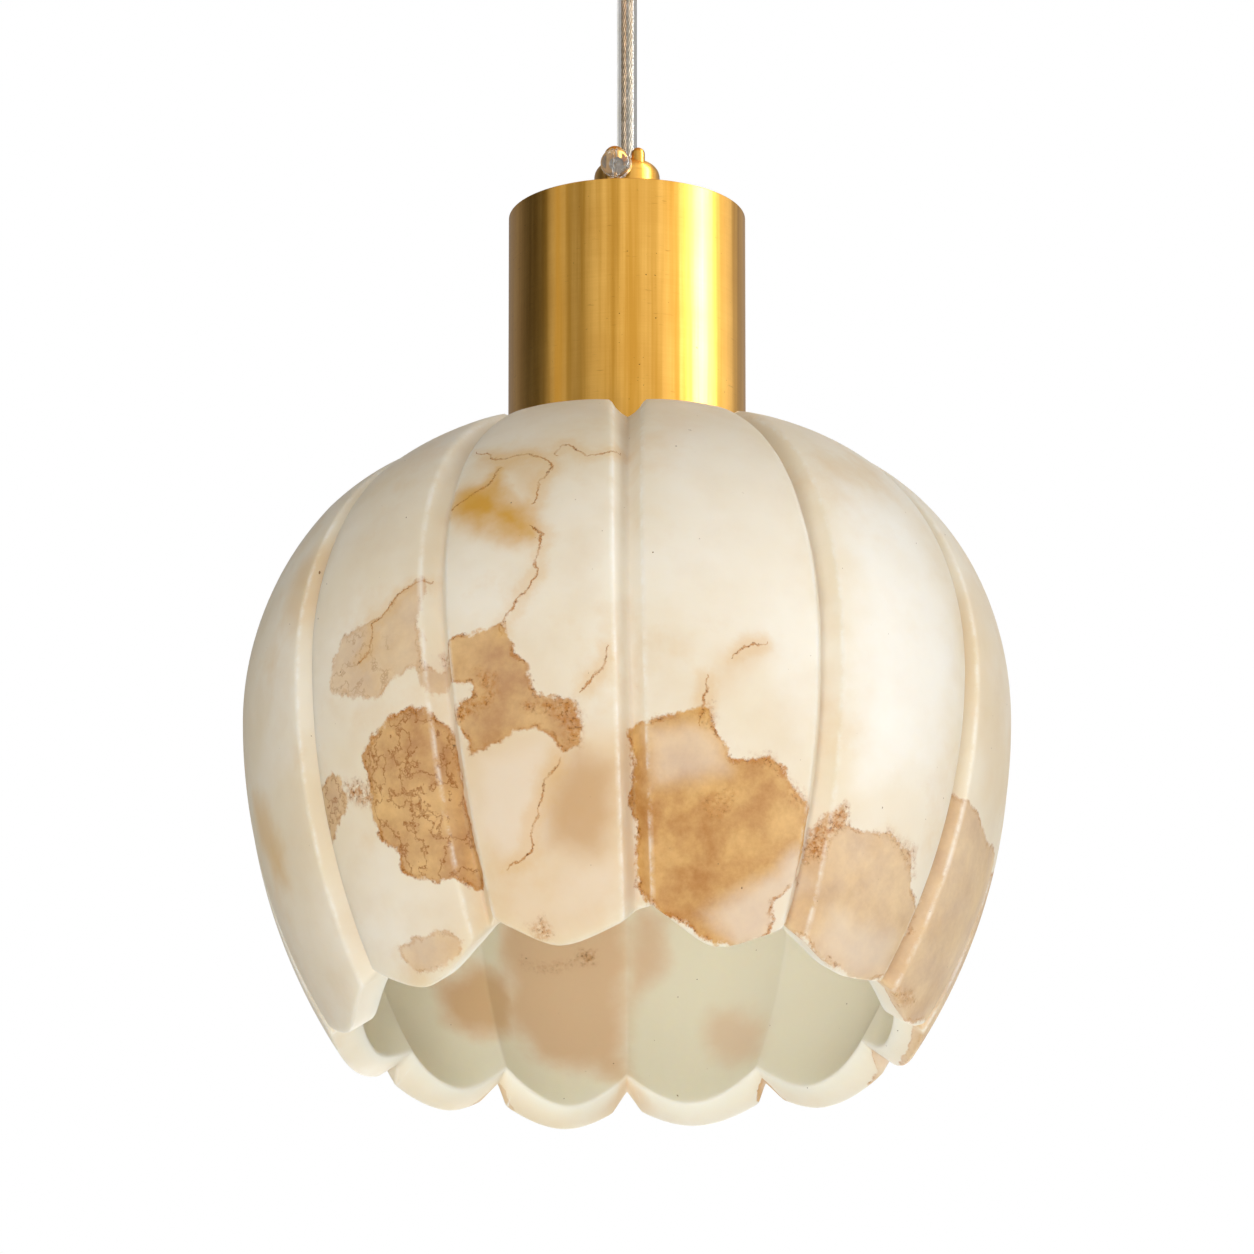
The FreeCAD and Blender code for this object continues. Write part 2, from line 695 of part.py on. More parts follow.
def cap():
    inner = "cap_radius - cap_wall"
    entry = "entry_thread_radius + entry_hole_gap"
    keep("threaded_nipple", tube("nipple", "nipple_bore", "entry_thread_radius", "0", "nipple_length",
                                 "0", "0", "nipple_bottom"))
    keep("brass_cap", turned("cap_cup", [
        (inner, "-cap_height"), ("cap_radius", "-cap_height"),
        ("cap_radius", "-cap_edge", "cap_edge"), ("cap_radius - cap_edge", "0"), (entry, "0"),
        (entry, "-cap_top_wall"), (inner, "-cap_top_wall"),
    ], "0", "0", "cap_top"))
    keep("cap_washer", tube("cap_ring", entry, "cap_washer_radius", "-cap_washer_thickness", "0",
                            "0", "0", "cap_inside"))
    entry_nut("cap_nut", "cap_inside - cap_washer_thickness - entry_nut_height")
    keep("cap_pad", tube("pad_ring", inner, "cap_radius", "0", "cap_pad_thickness", "0", "0", "seat"))


def lampholder():
    inner = "holder_radius - holder_dome_wall"
    keep("holder_dome", turned("dome_cup", [
        (inner, "-holder_dome_height"), ("holder_radius", "-holder_dome_height"),
        ("holder_radius", "-holder_dome_corner", "holder_dome_corner"),
        ("holder_radius - holder_dome_corner", "0"), ("entry_radius", "0"),
        ("entry_radius", "-holder_entry_depth"), (inner, "-holder_entry_depth"),
    ], "0", "0", "holder_top"))
    keep("holder_skirt", turned("skirt_turned", [
        ("holder_socket", "holder_bottom"), ("holder_thread_radius", "holder_bottom"),
        ("holder_thread_radius", "flange_bottom"), ("holder_flange_radius", "flange_bottom"),
        ("holder_flange_radius", "flange_top"), ("holder_radius", "flange_top"),
        ("holder_radius", "holder_joint"), ("holder_chamber", "holder_joint"),
        ("holder_chamber", "ledge"), ("holder_socket", "ledge"),
    ]))
    puck = "holder_chamber - thread_gap"
    keep("holder_insulator", turned("puck", [
        ("0", "0"), (puck, "0"), (puck, "insulator_height - insulator_step"),
        (f"{puck} - insulator_step", "insulator_height"), ("0", "insulator_height"),
    ], "0", "0", "ledge"))
    keep("screw_shell", tube("shell", "shell_bore", "shell_bore + shell_wall", "shell_bottom", "ledge"))
    leaf = bar("leaf", "contact_length", "contact_width", "contact_thickness", "-contact_length / 2",
               "-contact_width / 2", "ledge - contact_thickness")
    button = rod("button", "contact_width / 2", "contact_button + contact_thickness / 2", "0", "0",
                 "contact_bottom")
    keep("centre_contact", joined("contact", [leaf, button]))
    blocks, screws = [], []
    for side in (-1, 1):
        centre = f"{side} * terminal_side"
        half = "terminal_width / 2"
        level = "insulator_top + terminal_height / 2"
        blank = bar("terminal_blank", "terminal_width", "terminal_width", "terminal_height",
                    f"{centre} - {half}", f"-{half}", "insulator_top")
        way = rod("core_way", "core_radius + cord_gap", "terminal_height", centre, "0",
                  "insulator_top + terminal_floor")
        outer = f"{centre} + {side} * {half}"
        thread = rod("terminal_thread", "terminal_screw_radius + thread_gap", f"{half} - core_radius",
                     outer if side < 0 else f"{centre} + core_radius", "0", level, "X")
        blocks.append(cut("terminal", blank, [way, thread]))
        tip = "core_radius + terminal_screw_gap"
        shank = rod("terminal_shank", "terminal_screw_radius",
                    f"{half} - ({tip}) + terminal_head_height",
                    f"{outer} - terminal_head_height" if side < 0 else f"{centre} + {tip}",
                    "0", level, "X")
        head = rod("terminal_head", "terminal_head_radius", "terminal_head_height",
                   f"{outer} - terminal_head_height" if side < 0 else outer, "0", level, "X")
        screws.append(joined("terminal_screw", [shank, head]))
    keep("holder_terminals", group("terminals", blocks))
    keep("holder_terminal_screws", group("terminal_screws", screws))


def shade_clamp():
    loose = "holder_thread_radius + thread_gap"
    keep("shade_gasket", tube("gasket", loose, "gasket_radius", "0", "gasket_thickness", "0", "0", "seat"))
    keep("ring_washer", tube("washer", loose, "ring_washer_radius", "-ring_washer_thickness", "0",
                             "0", "0", "washer_top"))
    blank = turned("ring_blank", [
        (loose, "-ring_height"), ("ring_radius - ring_edge", "-ring_height", "ring_edge"),
        ("ring_radius", "ring_edge - ring_height"), ("ring_radius", "0"), (loose, "0"),
    ], "0", "0", "ring_top")
    notches = []
    for step in range(ring_notches):
        angle = f"{step} * {360 / ring_notches} deg"
        reach = "(ring_radius + ring_notch_radius / 2)"
        notches.append(rod("ring_notch", "ring_notch_radius", "ring_height + 2 * past",
                           f"{reach} * cos({angle})", f"{reach} * sin({angle})",
                           "ring_top - ring_height - past"))
    keep("shade_ring", cut("ring_cut", blank, notches))


def shade():
    """One carved shell: a turned bowl with a groove between petals and a scalloped lower edge."""
    belly = "(shade_belly_radius - {0})"
    shoulder = "(shade_shoulder_radius - {0})"
    lower = "(shade_lower_radius - {0})"

    def skin(depth, top):
        """Corners of a skin at a depth under the outer one, from its top to its lower edge."""
        bend = shoulder.format(depth)
        return [
            (f"shoulder_side + sqrt({bend} ^ 2 - (shoulder_drop - {top}) ^ 2)", f"-({top})", bend),
            (f"belly_centre + {belly.format(depth)} * cos(tilt)",
             f"{belly.format(depth)} * sin(tilt) - shade_equator", belly.format(depth)),
            (f"shade_radius - {depth}", "-shade_equator", lower.format(depth)),
            (f"lower_centre + {lower.format(depth)} * sqrt(1 - edge_slope ^ 2)",
             f"-shade_equator - {lower.format(depth)} * edge_slope"),
        ]

    outer = skin("0", "0")
    inner = skin("shade_wall", "shade_top_thickness")
    down = [(r, z, f"-{bend[0]}") if bend else (r, z) for r, z, *bend in outer]
    up = [(inner[i][0], inner[i][1], inner[i - 1][2]) for i in (3, 2, 1)] + [inner[0][:2]]
    body = doc.addObject("PartDesign::Body", "shade_body")
    outline = [("hole_radius", "0")] + down + up + [("hole_radius", "-shade_top_thickness")]
    section = sketch_on(body, "shade_outline", "XZ_Plane", outline)
    bowl = body.newObject("PartDesign::Revolution", "shade_turn")
    bowl.Profile = section
    bowl.ReferenceAxis = (section, ["V_Axis"])
    bowl.Angle = 360
    body.Tip = bowl
    doc.recompute()
    turned_volume = bowl.Shape.Volume

    route = sketch_on(body, "groove_route", "XZ_Plane", [
        ("shoulder_side", "shade_shoulder_radius - shoulder_drop", "-shade_shoulder_radius"),
        (outer[1][0], outer[1][1], "-shade_belly_radius"),
        (outer[2][0], outer[2][1], "-shade_lower_radius"),
        ("lower_centre + shade_lower_radius * cos(run_out)",
         "-shade_equator - shade_lower_radius * sin(run_out)"),
    ], closed=False)
    flare = "2 * groove_half_width"
    vee = body.newObject("Sketcher::SketchObject", "groove_section")
    vee.AttachmentSupport = [(origin_plane(body, "YZ_Plane"), "")]
    vee.MapMode = "FlatFace"
    vee.setExpression("AttachmentOffset.Base.z", bind("shoulder_side"))
    crest = "shade_shoulder_radius - shoulder_drop"
    above = f"{crest} + groove_depth"
    draw(vee, [("0", f"{crest} - groove_depth"), (flare, above), (f"-{flare}", above)])
    groove = body.newObject("PartDesign::SubtractivePipe", "groove")
    groove.Profile = vee
    groove.Spine = (route, ["Edge1", "Edge2", "Edge3"])
    body.Tip = groove
    doc.recompute()
    if groove.Shape.Volume >= turned_volume:
        raise RuntimeError("the groove cuts nothing")

    tip = f"({outer[3][0]})"
    half = f"({tip} * sin({180 / petals} deg))"
    round_tip = f"(({half} ^ 2 + scallop_depth ^ 2) / (2 * scallop_depth))"
    low = "-shade_height - past"
    cusp = sketch_on(body, "scallop_outline", "XZ_Plane", [
        (f"-{half}", low), (half, low), (half, "-shade_height", f"-{round_tip}"),
        ("0", "scallop_depth - shade_height", f"-{round_tip}"), (f"-{half}", "-shade_height"),
    ])
    scallop = body.newObject("PartDesign::Pocket", "scallop")
    scallop.Profile = cusp
    scallop.setExpression("Length", bind("shade_radius + past"))
    body.Tip = scallop
    doc.recompute()
    if scallop.Shape.Volume >= groove.Shape.Volume:
        raise RuntimeError("the scallop cuts nothing")

    around = body.newObject("PartDesign::PolarPattern", "petal_pattern")
    around.Originals = [groove, scallop]
    around.Axis = (origin_plane(body, "Z_Axis"), [""])
    around.Angle = 360
    around.Occurrences = petals
    body.Tip = around
    keep("alabaster_shade", place(body, "0", "0", "seat"))


def bulb():
    foot = "bulb_tip - bulb_tip_height"
    shell_top = f"{foot} - bulb_insulator_height"
    collar_top = "holder_bottom - bulb_collar_gap"
    neck = f"{collar_top} - bulb_neck_height"
    wide = "bulb_globe_radius * cos(bulb_collar_angle * 1 deg)"
    centre = "(bulb_bottom + bulb_globe_radius)"
    seam = f"{centre} + bulb_globe_radius * sin(bulb_collar_angle * 1 deg)"
    keep("bulb_tip_contact", turned("tip_button", [
        ("0", foot), ("bulb_tip_radius", foot), ("bulb_tip_radius - bulb_tip_edge", "bulb_tip"),
        ("0", "bulb_tip"),
    ]))
    keep("bulb_insulator", turned("tip_insulator", [
        ("0", shell_top), ("bulb_insulator_foot", shell_top),
        ("bulb_tip_radius + bulb_insulator_lip", foot), ("0", foot),
    ]))
    keep("bulb_screw_base", turned("base_shell", [
        ("0", collar_top), ("bulb_shell_radius", collar_top),
        ("bulb_shell_radius", f"{shell_top} - bulb_shell_taper"),
        ("bulb_insulator_foot", shell_top), ("0", shell_top),
    ]))
    keep("bulb_collar", turned("collar_turned", [
        ("0", seam), (wide, seam), ("bulb_neck_radius", neck),
        ("bulb_shell_radius + bulb_collar_lip", collar_top), ("0", collar_top),
    ]))
    keep("bulb_globe", turned("globe_turned", [
        ("0", "bulb_bottom", "bulb_globe_radius"), (wide, seam), ("0", seam),
    ]))


ceiling_bracket()
canopy_fasteners()
earth_terminal()
terminal_block()
canopy()
canopy_gland()
cord()
leads()
cord_grip()
clamp()
cap()
lampholder()
shade_clamp()
shade()
bulb()
doc.recompute()

for item in doc.Objects:
    bad = [state for state in item.State if state in ("Invalid", "Error")]
    if bad:
        raise RuntimeError(f"{item.Label} failed: {item.State}")
for label, item in nodes.items():
    shape = item.Shape
    if shape.isNull() or not shape.isValid() or not shape.Solids:
        raise RuntimeError(f"{label} has no valid solid")

os.makedirs("parts", exist_ok=True)
for label, item in nodes.items():
    item.Shape.exportStep(f"parts/{label}.step")
print(len(nodes), "nodes written")
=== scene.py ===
import json
import math
import bmesh
import bpy
import numpy as np
from mathutils import Matrix, Vector


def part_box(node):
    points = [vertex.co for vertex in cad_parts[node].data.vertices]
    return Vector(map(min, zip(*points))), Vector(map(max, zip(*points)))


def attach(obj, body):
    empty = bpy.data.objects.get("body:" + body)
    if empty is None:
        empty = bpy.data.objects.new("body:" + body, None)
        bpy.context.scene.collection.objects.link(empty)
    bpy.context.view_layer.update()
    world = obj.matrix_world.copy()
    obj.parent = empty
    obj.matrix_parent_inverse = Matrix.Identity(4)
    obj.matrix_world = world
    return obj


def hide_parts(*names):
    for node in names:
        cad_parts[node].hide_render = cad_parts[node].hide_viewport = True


# A pendant light: carved alabaster shade, satin brass cap, clear two-core cord.
# Metres, with sizes given in millimetres and turned to metres where they are used.

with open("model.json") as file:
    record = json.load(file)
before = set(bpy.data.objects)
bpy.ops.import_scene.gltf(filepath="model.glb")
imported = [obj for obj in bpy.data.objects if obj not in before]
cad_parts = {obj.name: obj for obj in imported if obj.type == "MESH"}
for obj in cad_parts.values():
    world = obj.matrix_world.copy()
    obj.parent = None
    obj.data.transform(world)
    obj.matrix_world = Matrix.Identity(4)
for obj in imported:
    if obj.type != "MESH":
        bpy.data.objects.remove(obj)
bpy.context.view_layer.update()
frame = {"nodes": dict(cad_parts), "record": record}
nodes = frame["nodes"]
mm = 0.001


def linear(hexColour):
    parts = [int(hexColour[i:i + 2], 16) / 255 for i in (1, 3, 5)]
    return tuple(c / 12.92 if c <= 0.04045 else ((c + 0.055) / 1.055) ** 2.4 for c in parts) + (1.0,)


# ---- the camera, which looks up at the light from below, as the photo does

camera = {
    "frame": 1254,  # the photo's width and height in its own pixels
    "axisColumn": 627,  # the column of the cord's axis
    "elevation": math.radians(18.7),  # how far the camera looks up
    "distance": 4.0,
    "aimHeight": -0.2228,  # where the middle of the picture meets the axis
    "fieldWidth": 0.326,  # what the picture is wide at that distance
    "sensor": 36,
}
lookAlong = Vector((0, math.cos(camera["elevation"]), math.sin(camera["elevation"])))
lookUp = Vector((0, -math.sin(camera["elevation"]), math.cos(camera["elevation"])))
eye = Vector((0, 0, camera["aimHeight"])) - lookAlong * camera["distance"]


def makeCamera():
    lens = bpy.data.cameras.new("photoCamera")
    lens.sensor_width = camera["sensor"]
    lens.lens = camera["sensor"] * camera["distance"] / camera["fieldWidth"]
    lens.clip_start = 0.05
    lens.clip_end = 60
    seen = bpy.data.objects.new("photoCamera", lens)
    bpy.context.scene.collection.objects.link(seen)
    seen.location = eye
    seen.rotation_euler = lookAlong.to_track_quat("-Z", "Y").to_euler()
    bpy.context.scene.camera = seen


def pixelRay(column, row):
    scale = camera["fieldWidth"] / camera["frame"]
    across = Vector((1, 0, 0)) * (column - camera["axisColumn"]) * scale
    up = lookUp * (camera["frame"] / 2 - row) * scale
    return lookAlong * camera["distance"] + across + up


makeCamera()
print("camera ready")

# ---- shared helpers


def finishMesh(bm, name, smooth=False):
    mesh = bpy.data.meshes.new(name)
    bm.to_mesh(mesh)
    bm.free()
    mesh.polygons.foreach_set("use_smooth", [smooth] * len(mesh.polygons))
    return mesh


def linkPiece(name, data, material=None):
    piece = bpy.data.objects.new(name, data)
    bpy.context.scene.collection.objects.link(piece)
    if material:
        piece.data.materials.append(material)
    return piece


# ---- materials


def newMaterial(name, **settings):
    material = bpy.data.materials.new(name)
    material.use_nodes = True
    tree = material.node_tree
    shader = tree.nodes["Principled BSDF"]
    for key, value in settings.items():
        shader.inputs[key.replace("_", " ")].default_value = value
    return material, tree, shader


def add(tree, kind, settings=(), links=(), out=0):
    node = tree.nodes.new("ShaderNode" + kind)
    for key, value in dict(settings).items():
        if isinstance(key, int) or key in node.inputs:
            node.inputs[key].default_value = value
        else:
            setattr(node, key, value)
    for key, socket in dict(links).items():
        tree.links.new(socket, node.inputs[key])
    return node.outputs[out]


def blendColour(tree, share, base, top):
    links = {0: share}
    settings = {"data_type": "RGBA"}
    for slot, colour in ((6, base), (7, top)):
        if isinstance(colour, str):
            settings[slot] = linear(colour)
        else:
            links[slot] = colour
    return add(tree, "Mix", settings, links, out=2)


def spread(tree, value, low, high, start=0.0, end=1.0, smooth=False):
    kind = "SMOOTHSTEP" if smooth else "LINEAR"
    return add(tree, "MapRange", {"interpolation_type": kind, "From Min": low, "From Max": high,
                                  "To Min": start, "To Max": end}, {"Value": value})


def combine(tree, operation, first, second):
    settings = {"operation": operation}
    links = {}
    for slot, value in ((0, first), (1, second)):
        if isinstance(value, (int, float)):
            settings[slot] = value
        else:
            links[slot] = value
    return add(tree, "Math", settings, links)


def grain(tree, size, detail=4, rough=0.55, stretch=(1, 1, 1), shift=(0, 0, 0)):
    # noise whose lumps are about size millimetres across, in object space
    place = add(tree, "TexCoord", out="Object")
    moved = add(tree, "Mapping", {"Scale": stretch, "Location": shift}, {"Vector": place})
    return add(tree, "TexNoise", {"Scale": 1 / (size * mm), "Detail": detail, "Roughness": rough},
               {"Vector": moved})


def roughen(tree, shader, height, depth, strength=1.0):
    # bump from a height pattern, depth in millimetres
    bump = add(tree, "Bump", {"Strength": strength, "Distance": depth * mm}, {"Height": height})
    tree.links.new(bump, shader.inputs["Normal"])


def satinBrass():
    # brushed brass under thin clear lacquer: soft gold in upright bands, faint level lines
    material, tree, shader = newMaterial("satinBrushedBrass", Metallic=1.0, Roughness=0.34,
                                         Anisotropic=0.6, Anisotropic_Rotation=0.25,
                                         Coat_Weight=0.05, Coat_Roughness=0.2)
    lines = grain(tree, 0.4, detail=3, rough=0.7, stretch=(0.014, 0.014, 1))
    streaks = grain(tree, 2.6, detail=3, rough=0.6, stretch=(1, 1, 0.02))
    patches = grain(tree, 14, detail=3)
    base = blendColour(tree, spread(tree, streaks, 0.36, 0.64), "#CF973A", "#E8B45A")
    base = blendColour(tree, spread(tree, lines, 0.35, 0.7, 0, 0.16), base, "#C08A34")
    base = blendColour(tree, spread(tree, patches, 0.35, 0.7, 0, 0.3), base, "#C68C34")
    # short level scratches and small dark specks
    scratch = spread(tree, grain(tree, 0.6, detail=2, stretch=(0.12, 0.12, 1), shift=(2, 5, 1)), 0.7, 0.76)
    base = blendColour(tree, combine(tree, "MULTIPLY", scratch, 0.35), base, "#8A5A1C")
    specks = spread(tree, grain(tree, 0.8, detail=2, shift=(3, 1, 2)), 0.75, 0.78)
    tree.links.new(blendColour(tree, specks, base, "#4A3312"), shader.inputs["Base Color"])
    tree.links.new(add(tree, "Tangent", {"direction_type": "RADIAL", "axis": "Z"}), shader.inputs["Tangent"])
    tree.links.new(spread(tree, streaks, 0.3, 0.7, 0.3, 0.4), shader.inputs["Roughness"])
    roughen(tree, shader, lines, 0.02, 0.08)
    return material


def brightBrass():
    # turned brass left bare: yellower and shinier, with faint tool marks
    material, tree, shader = newMaterial("turnedBrass", Metallic=1.0, Roughness=0.24)
    marks = grain(tree, 0.6, detail=3, stretch=(0.1, 0.1, 1))
    tree.links.new(blendColour(tree, spread(tree, marks, 0.3, 0.7), "#C99B45", "#E2BC68"),
                   shader.inputs["Base Color"])
    roughen(tree, shader, marks, 0.03, 0.3)
    return material


def zincSteel():
    # zinc plated steel: dull silver with a faint cloudy spangle
    material, tree, shader = newMaterial("zincPlatedSteel", Metallic=1.0, Roughness=0.38)
    clouds = grain(tree, 3, detail=5)
    tree.links.new(blendColour(tree, spread(tree, clouds, 0.3, 0.7), "#A5A7A8", "#C9CACB"),
                   shader.inputs["Base Color"])
    tree.links.new(spread(tree, clouds, 0.3, 0.7, 0.3, 0.46), shader.inputs["Roughness"])
    return material


def nickelPlate():
    # rolled sheet with a nickel plate: warm silver, fairly bright
    material, tree, shader = newMaterial("nickelPlate", Metallic=1.0, Roughness=0.2)
    rolled = grain(tree, 0.8, detail=3, stretch=(0.15, 0.15, 1))
    tree.links.new(blendColour(tree, spread(tree, rolled, 0.3, 0.7), "#BDB8AD", "#DAD6CC"),
                   shader.inputs["Base Color"])
    return material


def strandMetal(name, dark, light):
    # bare fine-drawn wire, dull between the strands
    material, tree, shader = newMaterial(name, Metallic=1.0, Roughness=0.32)
    tree.links.new(blendColour(tree, spread(tree, grain(tree, 1.2, detail=3), 0.3, 0.7), dark, light),
                   shader.inputs["Base Color"])
    return material


def clearPlastic(name, tint, roughness, clearness=1.0):
    # clear plastic: the colour is only in its depth, so edges look a little denser
    material, tree, shader = newMaterial(name, Roughness=roughness, IOR=1.49, Transmission_Weight=clearness)
    haze = grain(tree, 6, detail=2)
    tree.links.new(blendColour(tree, spread(tree, haze, 0.3, 0.7), tint, "#FFFFFF"),
                   shader.inputs["Base Color"])
    return material


def moulded(name, dark, light, roughness, size=0.5, depth=0.02):
    # moulded plastic or rubber: even colour with the fine bloom of its mould
    material, tree, shader = newMaterial(name, Roughness=roughness, IOR=1.5)
    tree.links.new(blendColour(tree, spread(tree, grain(tree, 9, detail=3), 0.3, 0.7), dark, light),
                   shader.inputs["Base Color"])
    roughen(tree, shader, grain(tree, size, detail=3), depth, 0.4)
    return material


def porcelain():
    # pressed and glazed porcelain: a wet shine over a faintly rippled white
    material, tree, shader = newMaterial("glazedPorcelain", Roughness=0.12, IOR=1.52)
    ripple = grain(tree, 5, detail=2)
    tree.links.new(blendColour(tree, spread(tree, ripple, 0.3, 0.7), "#E4E2DB", "#F3F2ED"),
                   shader.inputs["Base Color"])
    roughen(tree, shader, ripple, 0.08, 0.3)
    return material


def opalDiffuser():
    # opal polycarbonate: milky and satin, light soaks into it
    material, tree, shader = newMaterial("opalPolycarbonate", Roughness=0.32, IOR=1.5,
                                         Subsurface_Weight=0.3, Subsurface_Scale=0.004)
    milkAndHighlight = grain(tree, 12, detail=2)
    tree.links.new(blendColour(tree, spread(tree, milkAndHighlight, 0.3, 0.7), "#EFEFEC", "#F7F7F5"),
                   shader.inputs["Base Color"])
    return material


finishes = {
    "satin_brass": satinBrass(),
    "bright_brass": brightBrass(),
    "zinc_steel": zincSteel(),
    "nickel_plate": nickelPlate(),
    "copper_strand": strandMetal("copperStrand", "#8A7A66", "#BBA994"),
    "tinned_strand": strandMetal("tinnedStrand", "#ACA598", "#DED8CC"),
    "clear_pvc": clearPlastic("clearPvc", "#F3EDDD", 0.08),
    "clear_polycarbonate": clearPlastic("clearPolycarbonate", "#DEDEDA", 0.05, 0.9),
    "white_nylon": moulded("whiteNylon", "#DEDCD4", "#ECEAE4", 0.5),
    "black_phenolic": moulded("blackPhenolic", "#131211", "#201E1C", 0.35),
    "porcelain": porcelain(),
    "silicone": moulded("greySilicone", "#B9B8B2", "#CCCBC5", 0.55),
    "black_rubber": moulded("blackRubber", "#121212", "#1D1D1D", 0.65),
    "opal_diffuser": opalDiffuser(),
    "white_body": moulded("whiteThermoplastic", "#E6E6E3", "#F2F2F0", 0.38),
    "black_glass": moulded("blackInsulatorGlass", "#0C0C0C", "#141414", 0.08, depth=0.005),
}
for part in frame["record"]["subparts"]:
    if part["material_slot"] in finishes:
        node = nodes[part["node"]]
        node.data.materials.clear()
        node.data.materials.append(finishes[part["material_slot"]])
print("finishes ready")

# ---- the alabaster shade

stoneLow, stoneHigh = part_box("alabaster_shade")
stone = {
    "equatorRadius": (stoneHigh.x - stoneLow.x) / 2 / mm,
    "seat": stoneHigh.z / mm,  # height of its flat top
    "height": (stoneHigh.z - stoneLow.z) / mm,
    "equatorDrop": 73.1,  # from the flat top down to the fullest level
    "bellyArc": 84.25,  # radii of the three arcs of its side, from the equator up and down
    "bellyTurn": math.radians(24.8),
    "shoulderArc": 71.2,
    "lowerArc": 158,
    "hole": 21,
    "topThickness": 9,
    "topRows": 12,  # rows of the mesh from the shoulder to the hole
    "wall": 8,
    "wallArcs": (34, 14, 56),  # rows of the mesh along the shoulder, belly and lower arcs
    "columns": 34,  # columns of the mesh to a petal
    "grooveHalf": 3.9,
    "grooveDepth": 4.1,
    "grooveTop": 25,  # how far down the groove takes to go from a round bottom to a sharp one
    "grooveRound": 0.45,  # how round its bottom is at the top: 1 is sharp
    "grooveStart": (24, 30),  # radii between which it runs out under the cap
    "crown": 1.1,  # how far a petal's sides fall away from its middle
    "ridge": 3.4,  # how far the inside stands up behind each groove
    "innerNarrow": 0.75,  # how much closer the mesh columns stand there than round the groove outside
    "topSkin": 12,  # below this depth the inside is carved square to its own slope
    "edgeCrowd": 1.6,  # how strongly the rows close up towards the lower edge
    "lean": 0.012,  # the shoulder sits a little higher on the right
    "leftDip": 1.9,  # how far the flat top falls away on the left,
    "leftDipReach": (30, 57),  # between these distances left of the axis
    "leftDipFrom": 0.72,  # and above this share of the height over the fullest level
    "chipAndGlintPlace": 0.95,  # where the groove's crest is bruised and carries a painted highlight line, in half widths from its middle
    "chipAndGlintWidth": 0.16,
    "rimBelow": 20,  # the lower edge is further than this below the fullest level
    "edgeRound": 0.7,
    "edgeAngle": 1.0,  # edges sharper than this, in radians, are the lower edge's corners
}
# each groove's angle at the top, its bend and its angle at the lower edge, in degrees from the front to the
# right, how far below the flat top its notch is, and how far the notch lies to the right of its middle;
# they lean and differ, as hand-cut ones do
grooves = [(0.2, -0.7, 2.4, 147.5, 3.9), (29.4, 32.2, 32.4, 149, -1.5), (62, 64.8, 60.5, 154.5, 0),
           (91, 91, 90, 153, 0), (121, 118, 116.1, 154.5, 0), (150, 150, 150.7, 152.6, 0),
           (180, 180, 180, 152, 0), (207, 207, 207.2, 152.3, 0), (234, 235, 235.8, 155, 0),
           (267, 268, 268, 153, 0), (302, 305.8, 300.3, 152, 2), (326.2, 332, 332.6, 148.5, 3.5)]
# how far below the flat top each petal's tip is, from the one right of the front groove round, and how blunt:
# a low number is a point with straight sides, a high one a round scallop
tips = [(155.9, 0.35), (157, 0.35), (159.2, 0.4), (158.5, 0.7), (160.3, 0.8), (159.4, 0.8), (160.4, 0.8),
        (159.8, 0.8), (159, 0.7), (161, 0.4), (160.3, 0.4), (156, 0.35)]
# a petal side's places across it: (share of the groove's half width, share of its depth)
grooveSteps = [(0, 1.0), (0.2, 0.86), (0.5, 0.56), (0.8, 0.22), (0.93, 0.07), (1.04, 0.015), (1.25, 0.0)]

equator = stone["seat"] - stone["equatorDrop"]


def outerRadius(height, inward=0.0):
    # radius of the turned outline at a height, or of one that far inside it
    rise = height - equator
    if rise < 0:
        arc = stone["lowerArc"] - inward
        return stone["equatorRadius"] - stone["lowerArc"] + math.sqrt(max(arc**2 - rise**2, 0))
    arc = stone["bellyArc"] - inward
    middle = stone["equatorRadius"] - stone["bellyArc"]
    if rise <= arc * math.sin(stone["bellyTurn"]):
        return middle + math.sqrt(arc**2 - rise**2)
    step = stone["bellyArc"] - stone["shoulderArc"]
    middle += step * math.cos(stone["bellyTurn"])
    rise -= step * math.sin(stone["bellyTurn"])
    arc = stone["shoulderArc"] - inward
    return middle + math.sqrt(max(arc**2 - rise**2, 0))


def arcChain(bm, start, middle, angle, steps):
    # an arc drawn by spinning a point about a level axis; a positive angle goes down
    made = bmesh.ops.spin(bm, geom=[start], cent=Vector((middle[0], 0, middle[1])), axis=(0, 1, 0),
                          angle=angle, steps=steps, use_duplicate=False)
    return next(v for v in made["geom_last"] if isinstance(v, bmesh.types.BMVert))


def lineChain(bm, start, end, steps):
    # a straight run of edges
    for step in range(1, steps + 1):
        made = bmesh.ops.extrude_vert_indiv(bm, verts=[start])
        start = made["verts"][0]
        start.co = start.co.lerp(Vector((end[0], 0, end[1])), 1 / (steps + 1 - step))
    return start


def skinProfile(bm, inward, drop):
    # one side's outline from its lower edge up to the hole, as a chain of vertices
    radius = stone["equatorRadius"]
    turn = stone["bellyTurn"]
    step = stone["bellyArc"] - stone["shoulderArc"]
    shoulderMiddle = (radius - stone["bellyArc"] + step * math.cos(turn), equator + step * math.sin(turn))
    reach = (stone["height"] - stone["equatorDrop"]) / stone["lowerArc"]
    top = stone["seat"] - drop
    lid = math.asin((top - shoulderMiddle[1]) / (stone["shoulderArc"] - inward))
    first = bm.verts.new((radius - inward, 0, equator))
    rows = stone["wallArcs"]
    arcChain(bm, first, (radius - stone["lowerArc"], equator), math.asin(reach), rows[2])
    belly = arcChain(bm, first, (radius - stone["bellyArc"], equator), -turn, rows[1])
    shoulder = arcChain(bm, belly, shoulderMiddle, turn - lid, rows[0])
    lineChain(bm, shoulder, (stone["hole"], top), stone["topRows"])


